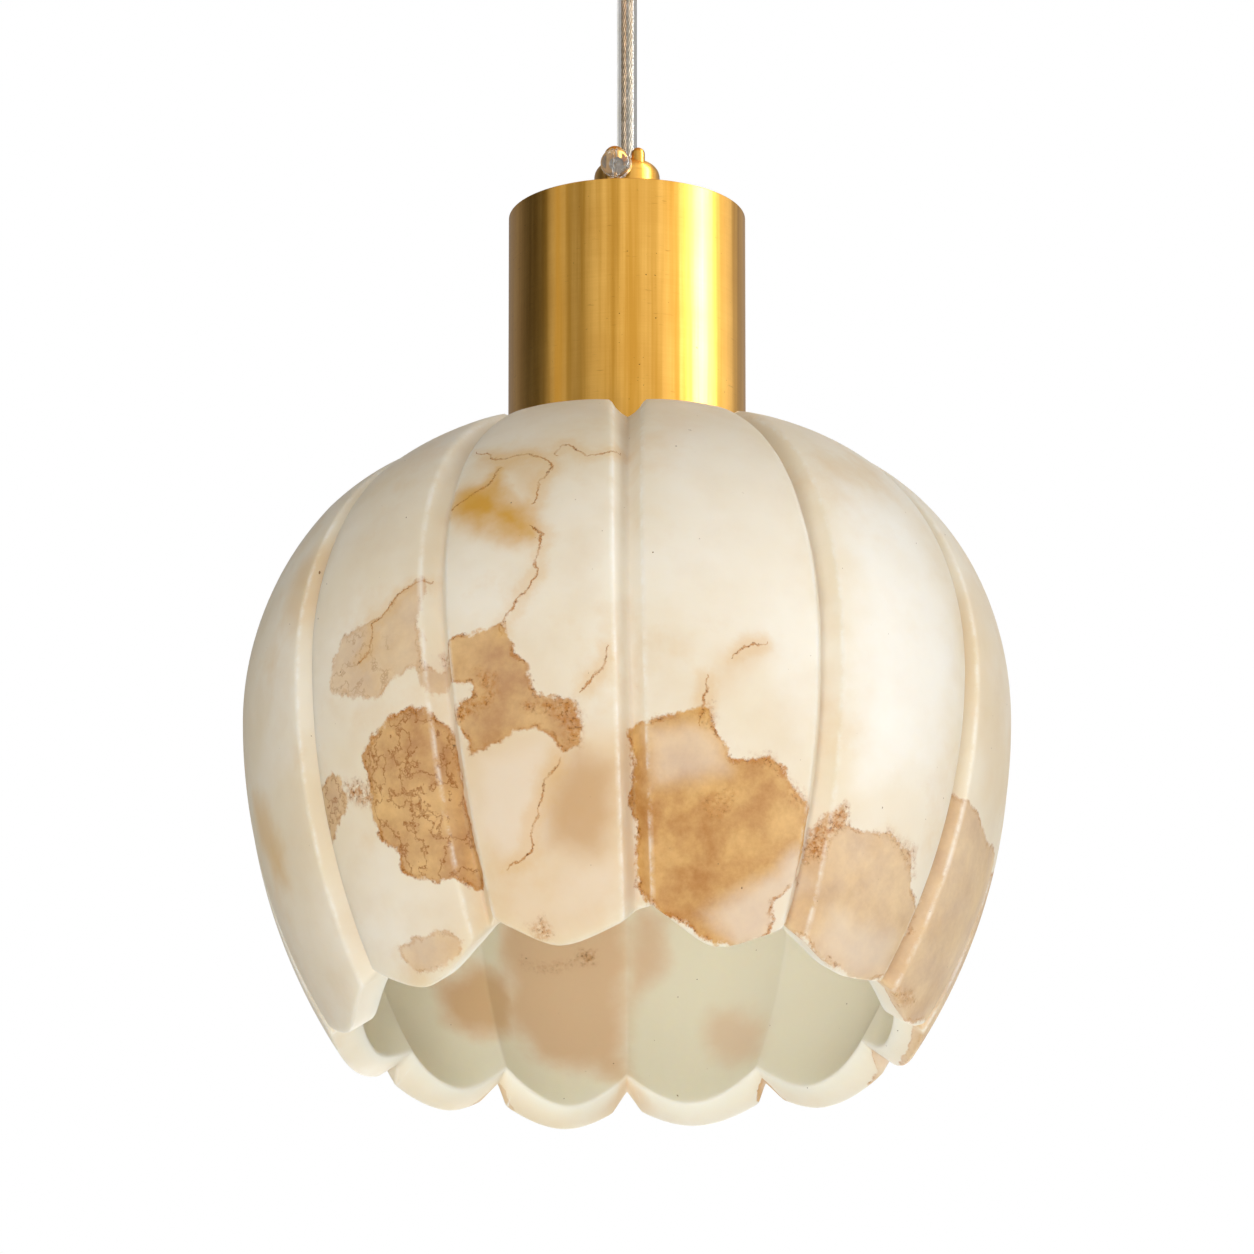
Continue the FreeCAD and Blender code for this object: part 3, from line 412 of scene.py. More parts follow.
def grooveAt(index, height):
    # angle of a groove at a height, in radians
    first, bend, last = grooves[index % len(grooves)][:3]
    share = min(1, (stone["seat"] - height) / stone["height"])
    whole = 360 * (index // len(grooves))
    return math.radians((1 - share)**2 * first + 2 * share * (1 - share) * bend + share**2 * last + whole)


def lowestTurn(petal, shift, halfPetal, rightHalf):
    # how far down the lower arc the edge is, at a place shift millimetres from the petal's nearer groove
    notch, aside = grooves[(petal + rightHalf) % len(grooves)][3:]
    past = -shift - aside if rightHalf else shift - aside  # from the notch, to the right
    owner = petal
    if rightHalf and past > 0:
        owner = petal + 1
    if not rightHalf and past < 0:
        owner = petal - 1
    tip, blunt = tips[owner % len(tips)]
    span = halfPetal - aside if past > 0 else halfPetal + aside
    inwards = min(1, abs(past) / span)  # 0 at the notch, 1 at the tip
    rise = (math.hypot(1 - inwards, blunt) - blunt) / (math.hypot(1, blunt) - blunt)
    return math.asin((tip - (tip - notch) * rise - stone["equatorDrop"]) / stone["lowerArc"])


def acrossPetal(petal, column, radius, height, half):
    # a mesh column's angle, the groove's depth there, its turn from the groove and the petal's half turn
    start, end = grooveAt(petal, height), grooveAt(petal + 1, height)
    columns = stone["columns"]
    steps = len(grooveSteps) - 1
    side = min(column, columns - column)
    shift, deep = grooveSteps[min(side, steps)]
    shift *= half / radius
    if side > steps:
        shift += ((end - start) / 2 - shift) * (side - steps) / (columns / 2 - steps)
        deep = 0
    angle = start + shift if column <= columns / 2 else end - shift
    return angle, deep, shift, (end - start) / 2


def carve(bm, inward):
    # moves a turned skin's vertices into petals, grooves and a scalloped edge
    columns = stone["columns"]
    edgeMark = bm.verts.layers.float.new("chipAndGlint")
    half = stone["grooveHalf"] * (stone["innerNarrow"] if inward else 1)
    reach = math.asin((stone["height"] - stone["equatorDrop"]) / stone["lowerArc"])
    arc = stone["lowerArc"] - inward
    topEdge = 1.02 * outerRadius(stone["seat"])  # just past the flat top
    grooveIn, grooveOut = stone["grooveStart"]
    dipIn, dipOut = stone["leftDipReach"]
    for v in bm.verts:
        radius, height = math.hypot(v.co.x, v.co.y), v.co.z
        around = math.atan2(v.co.x, -v.co.y) / (2 * math.pi) * len(grooves) * columns
        petal, column = divmod(round(around) % (len(grooves) * columns), columns)
        angle, deep, shift, whole = acrossPetal(petal, column, radius, height, half)
        slope = Vector((0, 0, 1))
        if height < equator:
            # rows close up towards the lower edge, which is cut square to the wall
            turn = math.asin(min(1, (equator - height) / arc))
            low = lowestTurn(petal, shift * radius, whole * radius, column > columns / 2)
            turn -= (reach - low) * (turn / reach)**stone["edgeCrowd"]
            radius = stone["equatorRadius"] - stone["lowerArc"] + arc * math.cos(turn)
            height = equator - arc * math.sin(turn)
            slope = Vector((math.cos(turn), 0, -math.sin(turn)))
            angle, deep, shift, whole = acrossPetal(petal, column, radius, height, half)
        elif radius > topEdge or height < stone["seat"] - stone["topSkin"]:
            near = outerRadius(height - 0.5) - outerRadius(height + 0.5)
            slope = Vector((1, 0, near)).normalized()
        across = shift / whole  # 0 in the groove, 1 on the petal's middle
        fade = min(1, max(0, (radius - grooveIn) / (grooveOut - grooveIn)))
        if inward:
            sink = stone["ridge"] * (1 - across)**2 * fade
        else:
            down = min(1, (stone["seat"] - height) / stone["grooveTop"])
            sharp = stone["grooveRound"] + (1 - stone["grooveRound"]) * down
            sink = (stone["grooveDepth"] * deep**sharp + stone["crown"] * (1 - across)**3) * fade
            # the crest's mark: bruised crystal and a painted highlight line along it
            fromCrest = abs(shift * radius / half - stone["chipAndGlintPlace"])
            v[edgeMark] = max(0, 1 - fromCrest / stone["chipAndGlintWidth"]) * fade
        moved = Vector((radius, 0, height)) - slope * sink
        rightwards = moved.x * math.sin(angle)
        above = (height - equator) / stone["equatorDrop"]
        moved.z += stone["lean"] * rightwards * max(0, math.sin(math.pi * min(1, max(0, above))))
        left = min(1, max(0, (-rightwards - dipIn) / (dipOut - dipIn)))
        high = min(1, max(0, (above - stone["leftDipFrom"]) / (1 - stone["leftDipFrom"])))
        moved.z -= stone["leftDip"] * left * high
        v.co = Vector((moved.x * math.sin(angle), -moved.x * math.cos(angle), moved.z))


def makeSkin(inward, drop):
    bm = bmesh.new()
    skinProfile(bm, inward, drop)
    turns = len(grooves) * stone["columns"]
    # the profile lies at +X, so it is first turned to the front, where the first groove is
    bmesh.ops.rotate(bm, verts=bm.verts[:], matrix=Matrix.Rotation(-math.pi / 2, 3, "Z"))
    bmesh.ops.spin(bm, geom=bm.verts[:] + bm.edges[:], cent=(0, 0, 0), axis=(0, 0, 1),
                   angle=2 * math.pi, steps=turns, use_merge=True, use_duplicate=False)
    bmesh.ops.remove_doubles(bm, verts=bm.verts[:], dist=1e-4)
    carve(bm, inward)
    return bm


def edgeLoop(bm, low):
    # the open edges at the lower edge, or those round the hole
    limit = equator - stone["rimBelow"]
    return [e for e in bm.edges if e.is_boundary and (e.verts[0].co.z < limit) == low]


def edgeCorners(bm, marks):
    # the corners where the lower edge's cut meets either skin
    limit = equator - stone["rimBelow"]
    low = [e for e in bm.edges if all(v.co.z < limit for v in e.verts) and len(e.link_faces) == 2]
    sharp = [e for e in low if e.calc_face_angle(0) > stone["edgeAngle"]
             and e.verts[0][marks] == e.verts[1][marks]]
    return [e for e in sharp if any(f.verts[0][marks] != f.verts[2][marks] or
                                    f.verts[0][marks] != f.verts[1][marks] for f in e.link_faces)]


def makeStone():
    bm = makeSkin(0, 0)
    innerMesh = finishMesh(makeSkin(stone["wall"], stone["topThickness"]), "innerSkin")
    marks = bm.verts.layers.int.new("inside")
    before = len(bm.verts)
    bm.from_mesh(innerMesh)
    bm.verts.ensure_lookup_table()
    for v in bm.verts[before:]:
        v[marks] = 1
    bpy.data.meshes.remove(innerMesh)
    for low in (True, False):
        bmesh.ops.bridge_loops(bm, edges=edgeLoop(bm, low))
    bmesh.ops.recalc_face_normals(bm, faces=bm.faces[:])
    bmesh.ops.bevel(bm, geom=edgeCorners(bm, marks), offset=stone["edgeRound"], offset_type="OFFSET",
                    segments=2, profile=0.5, affect="EDGES", material=-1)
    bmesh.ops.scale(bm, vec=(mm, mm, mm), verts=bm.verts[:])
    return linkPiece("alabasterShade", finishMesh(bm, "alabasterShade", smooth=True))


shade = makeStone()
print("stone carved:", len(shade.data.polygons), "faces")

# ---- the stone's stains, drawn as outlines in the photo's pixels and laid on its skins

# Each outline is a stain of a kind: tan is hard-edged, gold is soft, the white kind is a soft white cloud, on
# the right petals partly a painted highlight, pale is a clear window, net is a mesh of brown threads, rust a
# knot of specks. Strength is from 0 to 1.
stainKinds = ("tan", "gold", "milkAndHighlight", "pale", "deep", "net", "rust")
crumbledPatch = [(410, 706), (378, 730), (364, 756), (372, 790), (372, 818), (378, 835), (398, 851),
                 (404, 872), (430, 881), (476, 886), (480, 868), (464, 820), (458, 776), (447, 734), (434, 714)]
smallPatch = [(336, 771), (316, 789), (318, 808), (331, 848), (339, 828), (348, 806), (343, 780)]
stains = [
    # right of the front groove
    # white clouds on the two right petals: partly whiter stone, partly a painted highlight where the light
    # falls brightest
    ("milkAndHighlight", 0.7, [(836, 480), (900, 500), (945, 580), (960, 700), (940, 800), (850, 790), (842, 640)]),
    ("milkAndHighlight", 0.35, [(650, 415), (740, 420), (800, 500), (825, 640), (815, 760), (700, 640), (650, 560)]),
    ("gold", 0.3, [(720, 655), (760, 640), (770, 650), (730, 690), (715, 700), (700, 700), (706, 680)]),
    ("tan", 1.0, [(629, 724), (672, 716), (697, 706), (712, 704), (716, 728), (730, 760), (768, 756),
                  (795, 786), (813, 806), (812, 845), (800, 880), (774, 903), (765, 941), (736, 948),
                  (704, 941), (652, 905), (636, 880)]),
    ("pale", 0.55, [(648, 728), (700, 722), (716, 745), (726, 768), (690, 782), (650, 790)]),
    ("pale", 0.7, [(705, 915), (735, 890), (775, 872), (798, 852), (806, 880), (778, 905), (768, 941),
                   (736, 950)]),
    ("rust", 0.8, [(697, 712), (713, 700), (716, 724), (704, 728)]),
    ("rust", 0.8, [(750, 754), (772, 752), (776, 768), (760, 764)]),
    ("rust", 0.6, [(785, 776), (800, 784), (816, 806), (810, 816), (792, 796)]),
    ("rust", 0.4, [(700, 795), (735, 790), (728, 820), (702, 822)]),
    # the next petal to the right
    ("tan", 0.55, [(845, 805), (846, 826), (868, 832), (888, 834), (908, 850), (911, 880), (919, 917),
                   (912, 945), (892, 972), (868, 983), (843, 978), (820, 960), (792, 922), (803, 905),
                   (812, 850), (822, 818)]),
    ("rust", 1.0, [(846, 804), (848, 822), (832, 836), (824, 858), (814, 856), (818, 826)]),
    ("rust", 0.5, [(885, 830), (912, 850), (914, 878), (904, 862)]),
    ("pale", 0.5, [(820, 950), (835, 915), (870, 925), (900, 935), (885, 975), (850, 980)]),
    # the petal at the right edge
    ("tan", 0.5, [(957, 780), (968, 800), (977, 812), (985, 838), (996, 862), (990, 900), (966, 950),
                  (936, 1018), (909, 1024), (883, 1018), (874, 984), (905, 956), (932, 900), (944, 844)]),
    ("rust", 0.5, [(878, 988), (912, 990), (914, 1004), (884, 1004)]),
    ("gold", 0.15, [(925, 500), (952, 530), (990, 600), (1010, 680), (1013, 760), (1006, 830), (985, 800),
                    (975, 700), (955, 610)]),
    # left of the front groove
    ("gold", 1.0, [(500, 468), (512, 490), (534, 512), (530, 534), (505, 538), (470, 530), (452, 512),
                   (460, 492), (484, 482)]),
    ("gold", 0.35, [(480, 462), (540, 458), (552, 470), (540, 500), (520, 500), (500, 468)]),
    ("tan", 0.8, [(446, 642), (472, 634), (504, 626), (512, 645), (530, 664), (536, 694), (552, 697),
                  (574, 700), (582, 722), (578, 744), (560, 750), (540, 726), (505, 736), (474, 754),
                  (458, 734), (452, 716), (472, 694), (470, 684), (447, 680)]),
    ("gold", 0.3, [(456, 735), (500, 730), (560, 735), (632, 726), (634, 890), (600, 930), (556, 947),
                   (520, 938), (487, 919), (472, 850), (460, 785)]),
    ("gold", 0.6, [(512, 892), (540, 878), (562, 900), (560, 940), (532, 928)]),
    ("pale", 0.7, [(480, 756), (540, 744), (552, 770), (544, 830), (534, 860), (502, 862), (480, 820)]),
    ("pale", 0.35, [(560, 880), (612, 860), (628, 880), (590, 925), (556, 920)]),
    ("deep", 0.5, [(545, 775), (578, 745), (618, 765), (624, 820), (600, 858), (548, 850), (538, 810)]),
    ("rust", 1.0, [(451, 708), (478, 700), (492, 690), (488, 706), (470, 716), (453, 724)]),
    ("rust", 0.7, [(472, 670), (494, 674), (498, 690), (484, 688)]),
    ("rust", 0.9, [(522, 704), (574, 700), (582, 722), (580, 744), (566, 738), (560, 716), (524, 712)]),
    ("rust", 0.8, [(527, 925), (544, 918), (552, 936), (540, 944)]),
    ("rust", 1.0, [(434, 652), (445, 650), (446, 664), (437, 664)]),
    ("tan", 0.35, [(418, 668), (445, 662), (448, 682), (430, 695), (417, 682)]),
    # the next petal to the left
    ("tan", 0.35, [(421, 580), (400, 594), (387, 613), (360, 628), (342, 636), (332, 658), (333, 690),
                   (350, 699), (380, 699), (395, 678), (420, 661)]),
    ("net", 0.45, [(360, 628), (342, 636), (332, 658), (333, 690), (350, 699), (380, 699), (395, 678),
                   (392, 640)]),
    ("tan", 0.85, crumbledPatch),
    ("net", 1.0, crumbledPatch),
    ("rust", 0.9, [(346, 782), (362, 786), (378, 796), (372, 808), (352, 800)]),
    ("tan", 0.6, smallPatch),
    ("net", 0.8, smallPatch),
    ("tan", 0.3, [(396, 948), (428, 935), (452, 932), (464, 936), (460, 953), (446, 968), (420, 977)]),
    # the petal at the left edge
    ("gold", 0.45, [(255, 800), (268, 812), (284, 850), (292, 890), (276, 880), (260, 840)]),
    ("gold", 0.3, [(300, 560), (332, 530), (312, 600), (292, 640), (284, 610)]),
]
innerStains = [
    ("gold", 0.6, [(436, 985), (468, 968), (505, 975), (522, 1005), (500, 1030), (470, 1034), (444, 1018)]),
    ("gold", 0.5, [(500, 925), (627, 905), (627, 1088), (590, 1070), (540, 1060), (500, 1010)]),
    ("gold", 0.4, [(632, 905), (668, 920), (664, 972), (640, 990), (632, 1000)]),
    ("gold", 0.28, [(715, 1010), (760, 1025), (766, 1058), (735, 1060), (706, 1045)]),
    ("rust", 0.7, [(580, 952), (596, 952), (596, 966), (582, 966)]),
    ("rust", 0.25, [(518, 958), (545, 965), (575, 960), (576, 968), (545, 974), (520, 964)]),
]
# the gold and brown veins, as open lines in the same pixels
veins = [
    [(478, 452), (499, 459), (531, 455), (549, 458), (567, 443), (586, 456), (617, 450)],
    [(549, 458), (553, 467), (539, 482), (536, 502)],
    [(498, 470), (491, 484), (470, 496), (452, 508)],
    [(533, 529), (545, 537), (540, 547), (536, 573), (521, 597), (505, 623), (502, 631)],
    [(421, 581), (400, 594), (387, 613), (371, 627)],
    [(374, 631), (369, 652), (361, 662)],
    [(607, 650), (604, 664), (592, 678), (584, 690)],
    [(733, 655), (742, 648), (763, 645)],
    [(699, 722), (708, 690), (707, 680)],
    [(560, 762), (546, 778), (542, 800), (531, 836), (531, 850), (511, 868)],
]
laying = {
    "rayShares": (0.94, 1.06),  # where along a pixel's ray the stone can be, in camera distances
    "rayStep": 0.00025,
    "below": 4,  # millimetres that the search goes on under the lower edge
    "lengthFrom": 20,  # the length along the side is measured from this far under the lower edge
    "lengthSteps": 400,
    "sideAngle": math.radians(97),  # where the silhouette is, for a pixel that misses the stone
    "far": 12.0,  # no distance is kept beyond this, in millimetres
    "backTurn": math.radians(168),  # the photo shows one side only, so its stains are laid, turned and
    "innerBackTurn": math.radians(155),  # mirrored, on the back as well, outside and inside
}


def layOn(column, row, inward):
    # the angle and height where a pixel's ray meets the near outer skin, or the far inner one
    ray = pixelRay(column, row)
    share, last = laying["rayShares"]
    before = None
    while share < last:
        point = (eye + ray * share) / mm
        gap = None
        if stone["seat"] - stone["height"] - laying["below"] < point.z < stone["seat"]:
            gap = math.hypot(point.x, point.y) - outerRadius(point.z, inward)
        if before is not None and gap is not None and (before < 0 < gap if inward else gap < 0 < before):
            return math.atan2(point.x, -point.y), point.z
        before = gap
        share += laying["rayStep"]
    # past the outline in the photo: the nearest place on the silhouette
    side = 1 if column > camera["axisColumn"] else -1
    middle = (eye + ray).z / mm
    return side * laying["sideAngle"], min(stone["seat"] - 1, middle)


# the length along the stone's side up to each height
lowestLevel = stone["seat"] - stone["height"] - laying["lengthFrom"]
arcHeights = np.linspace(lowestLevel, stone["seat"], laying["lengthSteps"])
arcRadii = np.array([outerRadius(z) for z in arcHeights])
arcLengths = np.concatenate([[0], np.cumsum(np.hypot(np.diff(arcHeights), np.diff(arcRadii)))])


def outlineDistance(outline, angles, lengths, radii, inward, closed=True):
    # millimetres from each vertex to an outline, along the surface; positive inside a closed one
    spots = [layOn(column, row, inward) for column, row in outline]
    spotAngles = np.array([a for a, z in spots])
    spotLengths = np.interp([z for a, z in spots], arcHeights, arcLengths)
    middle = math.atan2(np.sin(spotAngles).mean(), np.cos(spotAngles).mean())
    fromMiddle = (spotAngles - middle + math.pi) % (2 * math.pi) - math.pi
    vertexTurn = (angles - middle + math.pi) % (2 * math.pi) - math.pi
    x = (fromMiddle[None, :] - vertexTurn[:, None]) * radii[:, None]
    y = spotLengths[None, :] - lengths[:, None]
    if closed:
        nextX, nextY = np.roll(x, -1, axis=1), np.roll(y, -1, axis=1)
    else:
        nextX, nextY = x[:, 1:], y[:, 1:]
        x, y = x[:, :-1], y[:, :-1]
    runX, runY = nextX - x, nextY - y
    share = np.clip(-(x * runX + y * runY) / (runX**2 + runY**2 + 1e-9), 0, 1)
    each = np.hypot(x + share * runX, y + share * runY)
    gaps = each.min(axis=1)
    if not closed:
        # a vein's distance has a sign, one for each side, so that it stays true between vertices
        nearest = each.argmin(axis=1)[:, None]
        turned = np.take_along_axis(x * runY - y * runX, nearest, axis=1)[:, 0]
        return np.where(turned > 0, gaps, -gaps)
    crosses = ((y > 0) != (nextY > 0)) & (x - y * runX / np.where(runY == 0, 1e-9, runY) > 0)
    return np.where(crosses.sum(axis=1) % 2 == 1, gaps, -gaps)


def stainStone(piece):
    mesh = piece.data
    count = len(mesh.vertices)
    places = np.empty(count * 3)
    mesh.vertices.foreach_get("co", places)
    places = places.reshape(-1, 3) / mm
    inside = np.empty(count, dtype=np.int32)
    mesh.attributes["inside"].data.foreach_get("value", inside)
    angles = np.arctan2(places[:, 0], -places[:, 1])
    radii = np.hypot(places[:, 0], places[:, 1])
    lengths = np.interp(places[:, 2], arcHeights, arcLengths)
    far = laying["far"]
    fields = {kind: np.full(count, -far) for kind in stainKinds}
    force = {kind + "Force": np.zeros(count) for kind in stainKinds}
    laid = [(stains, 0, 0, angles),
            (stains, 0, laying["backTurn"], -angles),
            (innerStains, stone["wall"], 0, angles),
            (innerStains, stone["wall"], laying["innerBackTurn"], -angles)]
    for group, inward, turn, around in laid:
        side = inside == 1 if inward else inside == 0
        for kind, strength, outline in group:
            reach = outlineDistance(outline, around + turn, lengths, radii, inward)
            reach = np.where(side, reach, -far)
            stronger = reach > fields[kind]
            force[kind + "Force"] = np.where(stronger, strength, force[kind + "Force"])
            fields[kind] = np.maximum(fields[kind], reach)
    line = np.full(count, far)
    for turn, around in ((0, angles), (laying["backTurn"], -angles)):
        for outline in veins:
            gap = outlineDistance(outline, around + turn, lengths, radii, 0, closed=False)
            line = np.where((np.abs(gap) < np.abs(line)) & (inside == 0), gap, line)
    fields["vein"] = line
    fields["veinNear"] = np.abs(line)
    for name, values in {**fields, **force}.items():
        layer = mesh.attributes.new(name, "FLOAT", "POINT")
        layer.data.foreach_set("value", np.clip(values, -far, far).astype(np.float32))


stainStone(shade)
print("stains laid")


def alabaster():
    # carved alabaster, honed and waxed: milky cream that light soaks into, tan clouds, rust at their edges, and
    # painted light: a painted glow on the inside skin, painted highlights on the right petals and along the
    # groove crests
    material, tree, shader = newMaterial("honedAlabaster", Roughness=0.6, IOR=1.52,
                                         Specular_IOR_Level=0.22, Subsurface_Weight=0.6,
                                         Subsurface_Scale=0.006)
    shader.inputs["Subsurface Radius"].default_value = (1.0, 0.92, 0.78)
    names = [*stainKinds, "vein", "veinNear", "chipAndGlint", "inside", *(kind + "Force" for kind in stainKinds)]
    field = {name: add(tree, "Attribute", {"attribute_name": name}, out="Fac") for name in names}
    jag = combine(tree, "SUBTRACT", grain(tree, 7, detail=9, rough=0.7), 0.5)
    soft = combine(tree, "SUBTRACT", grain(tree, 20, detail=5, shift=(1, 4, 2)), 0.5)
    fine = grain(tree, 1.3, detail=3, rough=0.6)
    specks = spread(tree, grain(tree, 0.8, detail=3, rough=0.65, shift=(5, 2, 7)), 0.54, 0.62)

    def distorted(name, amount, pattern=jag):
        # a stain's distance, made uneven by up to half of amount in millimetres
        return combine(tree, "ADD", field[name], combine(tree, "MULTIPLY", pattern, amount))

    def cloud(name, amount, low, high, pattern=soft):
        # a soft-edged stain's share, by its own strength
        edge = spread(tree, distorted(name, amount, pattern), low, high, smooth=True)
        return combine(tree, "MULTIPLY", edge, field[name + "Force"])

    # the milky ground: large soft clouds and a finer mottle, a painted glow that lightens the inside skin, and
    # white clouds that are partly a painted highlight
    clouds = grain(tree, 45, detail=3, shift=(0.3, 0.1, 0.4))
    ground = blendColour(tree, spread(tree, clouds, 0.35, 0.65), "#EADBBE", "#F0E7D5")
    ground = blendColour(tree, spread(tree, grain(tree, 16, detail=5, shift=(2, 2, 5)), 0.45, 0.75, 0, 0.4),
                         ground, "#DFCAA8")
    wisps = spread(tree, grain(tree, 30, detail=7, rough=0.62, shift=(7, 3, 1)), 0.56, 0.72, 0, 0.35)
    ground = blendColour(tree, wisps, ground, "#E0BC85")
    # painted glow: the inside skin is painted a lighter cream, standing for light that comes through the wall
    ground = blendColour(tree, combine(tree, "MULTIPLY", field["inside"], 0.9), ground, "#FFF7E4")
    # white clouds, on the right petals partly a painted highlight
    ground = blendColour(tree, cloud("milkAndHighlight", 30, -6, 14), ground, "#F6F2E9")
    ground = blendColour(tree, cloud("gold", 16, -5, 5), ground, "#D6A03C")
    # hard-edged tan patches
    patch = distorted("tan", 9)
    mask = spread(tree, patch, -0.4, 0.8, smooth=True)
    tanTone = blendColour(tree, spread(tree, grain(tree, 12, detail=7, rough=0.66), 0.34, 0.66),
                          "#E0B36C", "#B67A30")
    tanShare = combine(tree, "MULTIPLY", mask, spread(tree, field["tanForce"], 0, 1, 0.15, 0.95))
    ground = blendColour(tree, tanShare, ground, tanTone)
    ground = blendColour(tree, cloud("deep", 12, -4, 6), ground, "#BC8236")
    # clear windows in them
    ground = blendColour(tree, cloud("pale", 10, -4, 4), ground, "#EBDCC6")
    # brown threads between crumbled grains
    crumbs = combine(tree, "SUBTRACT", grain(tree, 6.5, detail=5, rough=0.6, shift=(6, 1, 4)), 0.5)
    crumbs = combine(tree, "ABSOLUTE", crumbs, 0)
    threads = combine(tree, "MULTIPLY", spread(tree, crumbs, 0.004, 0.03, 1, 0),
                      spread(tree, distorted("net", 8), -0.5, 1.5))
    threads = combine(tree, "MULTIPLY", threads, field["netForce"])
    threads = combine(tree, "MULTIPLY", threads, spread(tree, fine, 0.3, 0.6, 0.35, 1))
    ground = blendColour(tree, combine(tree, "MULTIPLY", threads, 0.85), ground, "#9A5C20")
    # rust along the edges of the patches, in knots and along the veins
    rim = spread(tree, combine(tree, "ABSOLUTE", combine(tree, "SUBTRACT", patch, 0.4), 0), 0.05, 0.9, 1, 0)
    rim = combine(tree, "MULTIPLY", rim, spread(tree, field["tanForce"], 0.2, 0.9, 0.25, 0.95))
    rim = combine(tree, "MULTIPLY", rim, spread(tree, grain(tree, 5, detail=3, shift=(1, 1, 9)), 0.42, 0.6))
    knots = combine(tree, "MULTIPLY", spread(tree, distorted("rust", 7), -1.8, 1.6, smooth=True),
                    field["rustForce"])
    knots = combine(tree, "MULTIPLY", knots, spread(tree, fine, 0.34, 0.62))
    # a vein's line, kept away from where its distance only changes sign
    line = combine(tree, "ABSOLUTE", distorted("vein", 6), 0)
    line = combine(tree, "ADD", line, spread(tree, field["veinNear"], 1.6, 2.6, 0, 3))
    thin = combine(tree, "MULTIPLY", spread(tree, line, 0.05, 0.42, 1, 0),
                   spread(tree, grain(tree, 6, detail=3, shift=(4, 6, 3)), 0.32, 0.6, 0.25, 1))
    halo = spread(tree, distorted("veinNear", 9), 0.3, 4.5, 0.3, 0, smooth=True)
    ground = blendColour(tree, halo, ground, "#DDAC55")
    rust = combine(tree, "MAXIMUM", combine(tree, "MAXIMUM", rim, knots), thin)
    ground = blendColour(tree, combine(tree, "MULTIPLY", rust, 0.85), ground, "#BA7418")
    ground = blendColour(tree, combine(tree, "MULTIPLY", rust, specks), ground, "#74430F")
    # bruised white crystal along the carved edges, partly a painted highlight of light through the thin crests
    broken = spread(tree, grain(tree, 7, detail=6, rough=0.7), 0.44, 0.6)
    chipsAndGlint = combine(tree, "MULTIPLY", field["chipAndGlint"], broken)
    ground = blendColour(tree, combine(tree, "MULTIPLY", chipsAndGlint, 0.6), ground, "#FAF7EF")
    # a few dark pinholes
    pits = spread(tree, grain(tree, 1.6, detail=2, shift=(8, 8, 8)), 0.775, 0.79)
    ground = blendColour(tree, pits, ground, "#8A6A44")
    tree.links.new(ground, shader.inputs["Base Color"])
    tree.links.new(spread(tree, grain(tree, 4, detail=4), 0.3, 0.7, 0.52, 0.66), shader.inputs["Roughness"])
    height = combine(tree, "ADD", combine(tree, "MULTIPLY", grain(tree, 3, detail=5), 0.6),
                     combine(tree, "MULTIPLY", fine, 0.25))
    roughen(tree, shader, height, 0.25, 0.3)
    return material


shade.data.materials.append(alabaster())
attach(shade, "pendant")
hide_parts("alabaster_shade")
print("stone finished")

# ---- the cord

cord = {
    "top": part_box("gland_cap")[0].z,
    "bottom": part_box("copper_core")[0].z,
    "diameter": 5.2 * mm,
    "tuck": 1.5 * mm,  # how far each end goes into its mouth
    "coreOffset": 0.52 * mm,  # the round jacket magnifies the cores, so they lie closer than they look
    "strandRadius": 0.18 * mm,
    "strandRing": 0.34 * mm,
    "strands": 6,
    "lay": 13 * mm,  # one turn of the twist
    "stepsToATurn": 16,
}


def makeJacket():
    # the route's points: it hangs straight, pulled tight by the shade's weight
    route = [(0, 0, cord["top"] + cord["tuck"]), (0, 0, (cord["top"] + cord["bottom"]) / 2),
             (0, 0, cord["bottom"] - cord["tuck"])]
    line = bpy.data.curves.new("cordJacket", "CURVE")
    line.dimensions = "3D"
    spline = line.splines.new("NURBS")
    spline.points.add(len(route) - 1)
    for point, place in zip(spline.points, route):
        point.co = (*place, 1)
    spline.order_u = 3
    spline.use_endpoint_u = True
    line.bevel_depth = cord["diameter"] / 2
    line.bevel_resolution = 10
    line.use_fill_caps = True
    return linkPiece("cordJacket", line, finishes["clear_pvc"])


def makeCore(name, side, finish, node):
    # fine wires twisted round one in the middle
    bm = bmesh.new()
    length = cord["top"] - cord["bottom"]
    turns = length / cord["lay"]
    for strand in range(cord["strands"] + 1):
        angle = 2 * math.pi * strand / cord["strands"]
        ring = 0 if strand == cord["strands"] else cord["strandRing"]
        made = bmesh.ops.create_circle(bm, cap_ends=True, segments=8, radius=cord["strandRadius"])
        centre = Vector((ring * math.cos(angle), ring * math.sin(angle), 0))
        bmesh.ops.translate(bm, verts=made["verts"], vec=centre)
        faces = list({f for v in made["verts"] for f in v.link_faces})
        steps = int(turns * cord["stepsToATurn"])
        bmesh.ops.spin(bm, geom=made["verts"] + faces + list({e for f in faces for e in f.edges}),
                       cent=(0, 0, 0), axis=(0, 0, 1), dvec=(0, 0, length / steps),
                       angle=2 * math.pi * turns, steps=steps, use_duplicate=False)
    bmesh.ops.translate(bm, verts=bm.verts[:], vec=(side * cord["coreOffset"], 0, cord["bottom"]))
    bmesh.ops.recalc_face_normals(bm, faces=bm.faces[:])
    piece = linkPiece(name, finishMesh(bm, name, smooth=True), finishes[finish])
    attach(piece, "cord")
    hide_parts(node)
    return piece


jacket = makeJacket()
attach(jacket, "cord")
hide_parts("cord_jacket")
copper = makeCore("copperCore", -1, "copper_strand", "copper_core")
tinned = makeCore("tinnedCore", 1, "tinned_strand", "tinned_core")
print("cord hung")

# ---- the studio

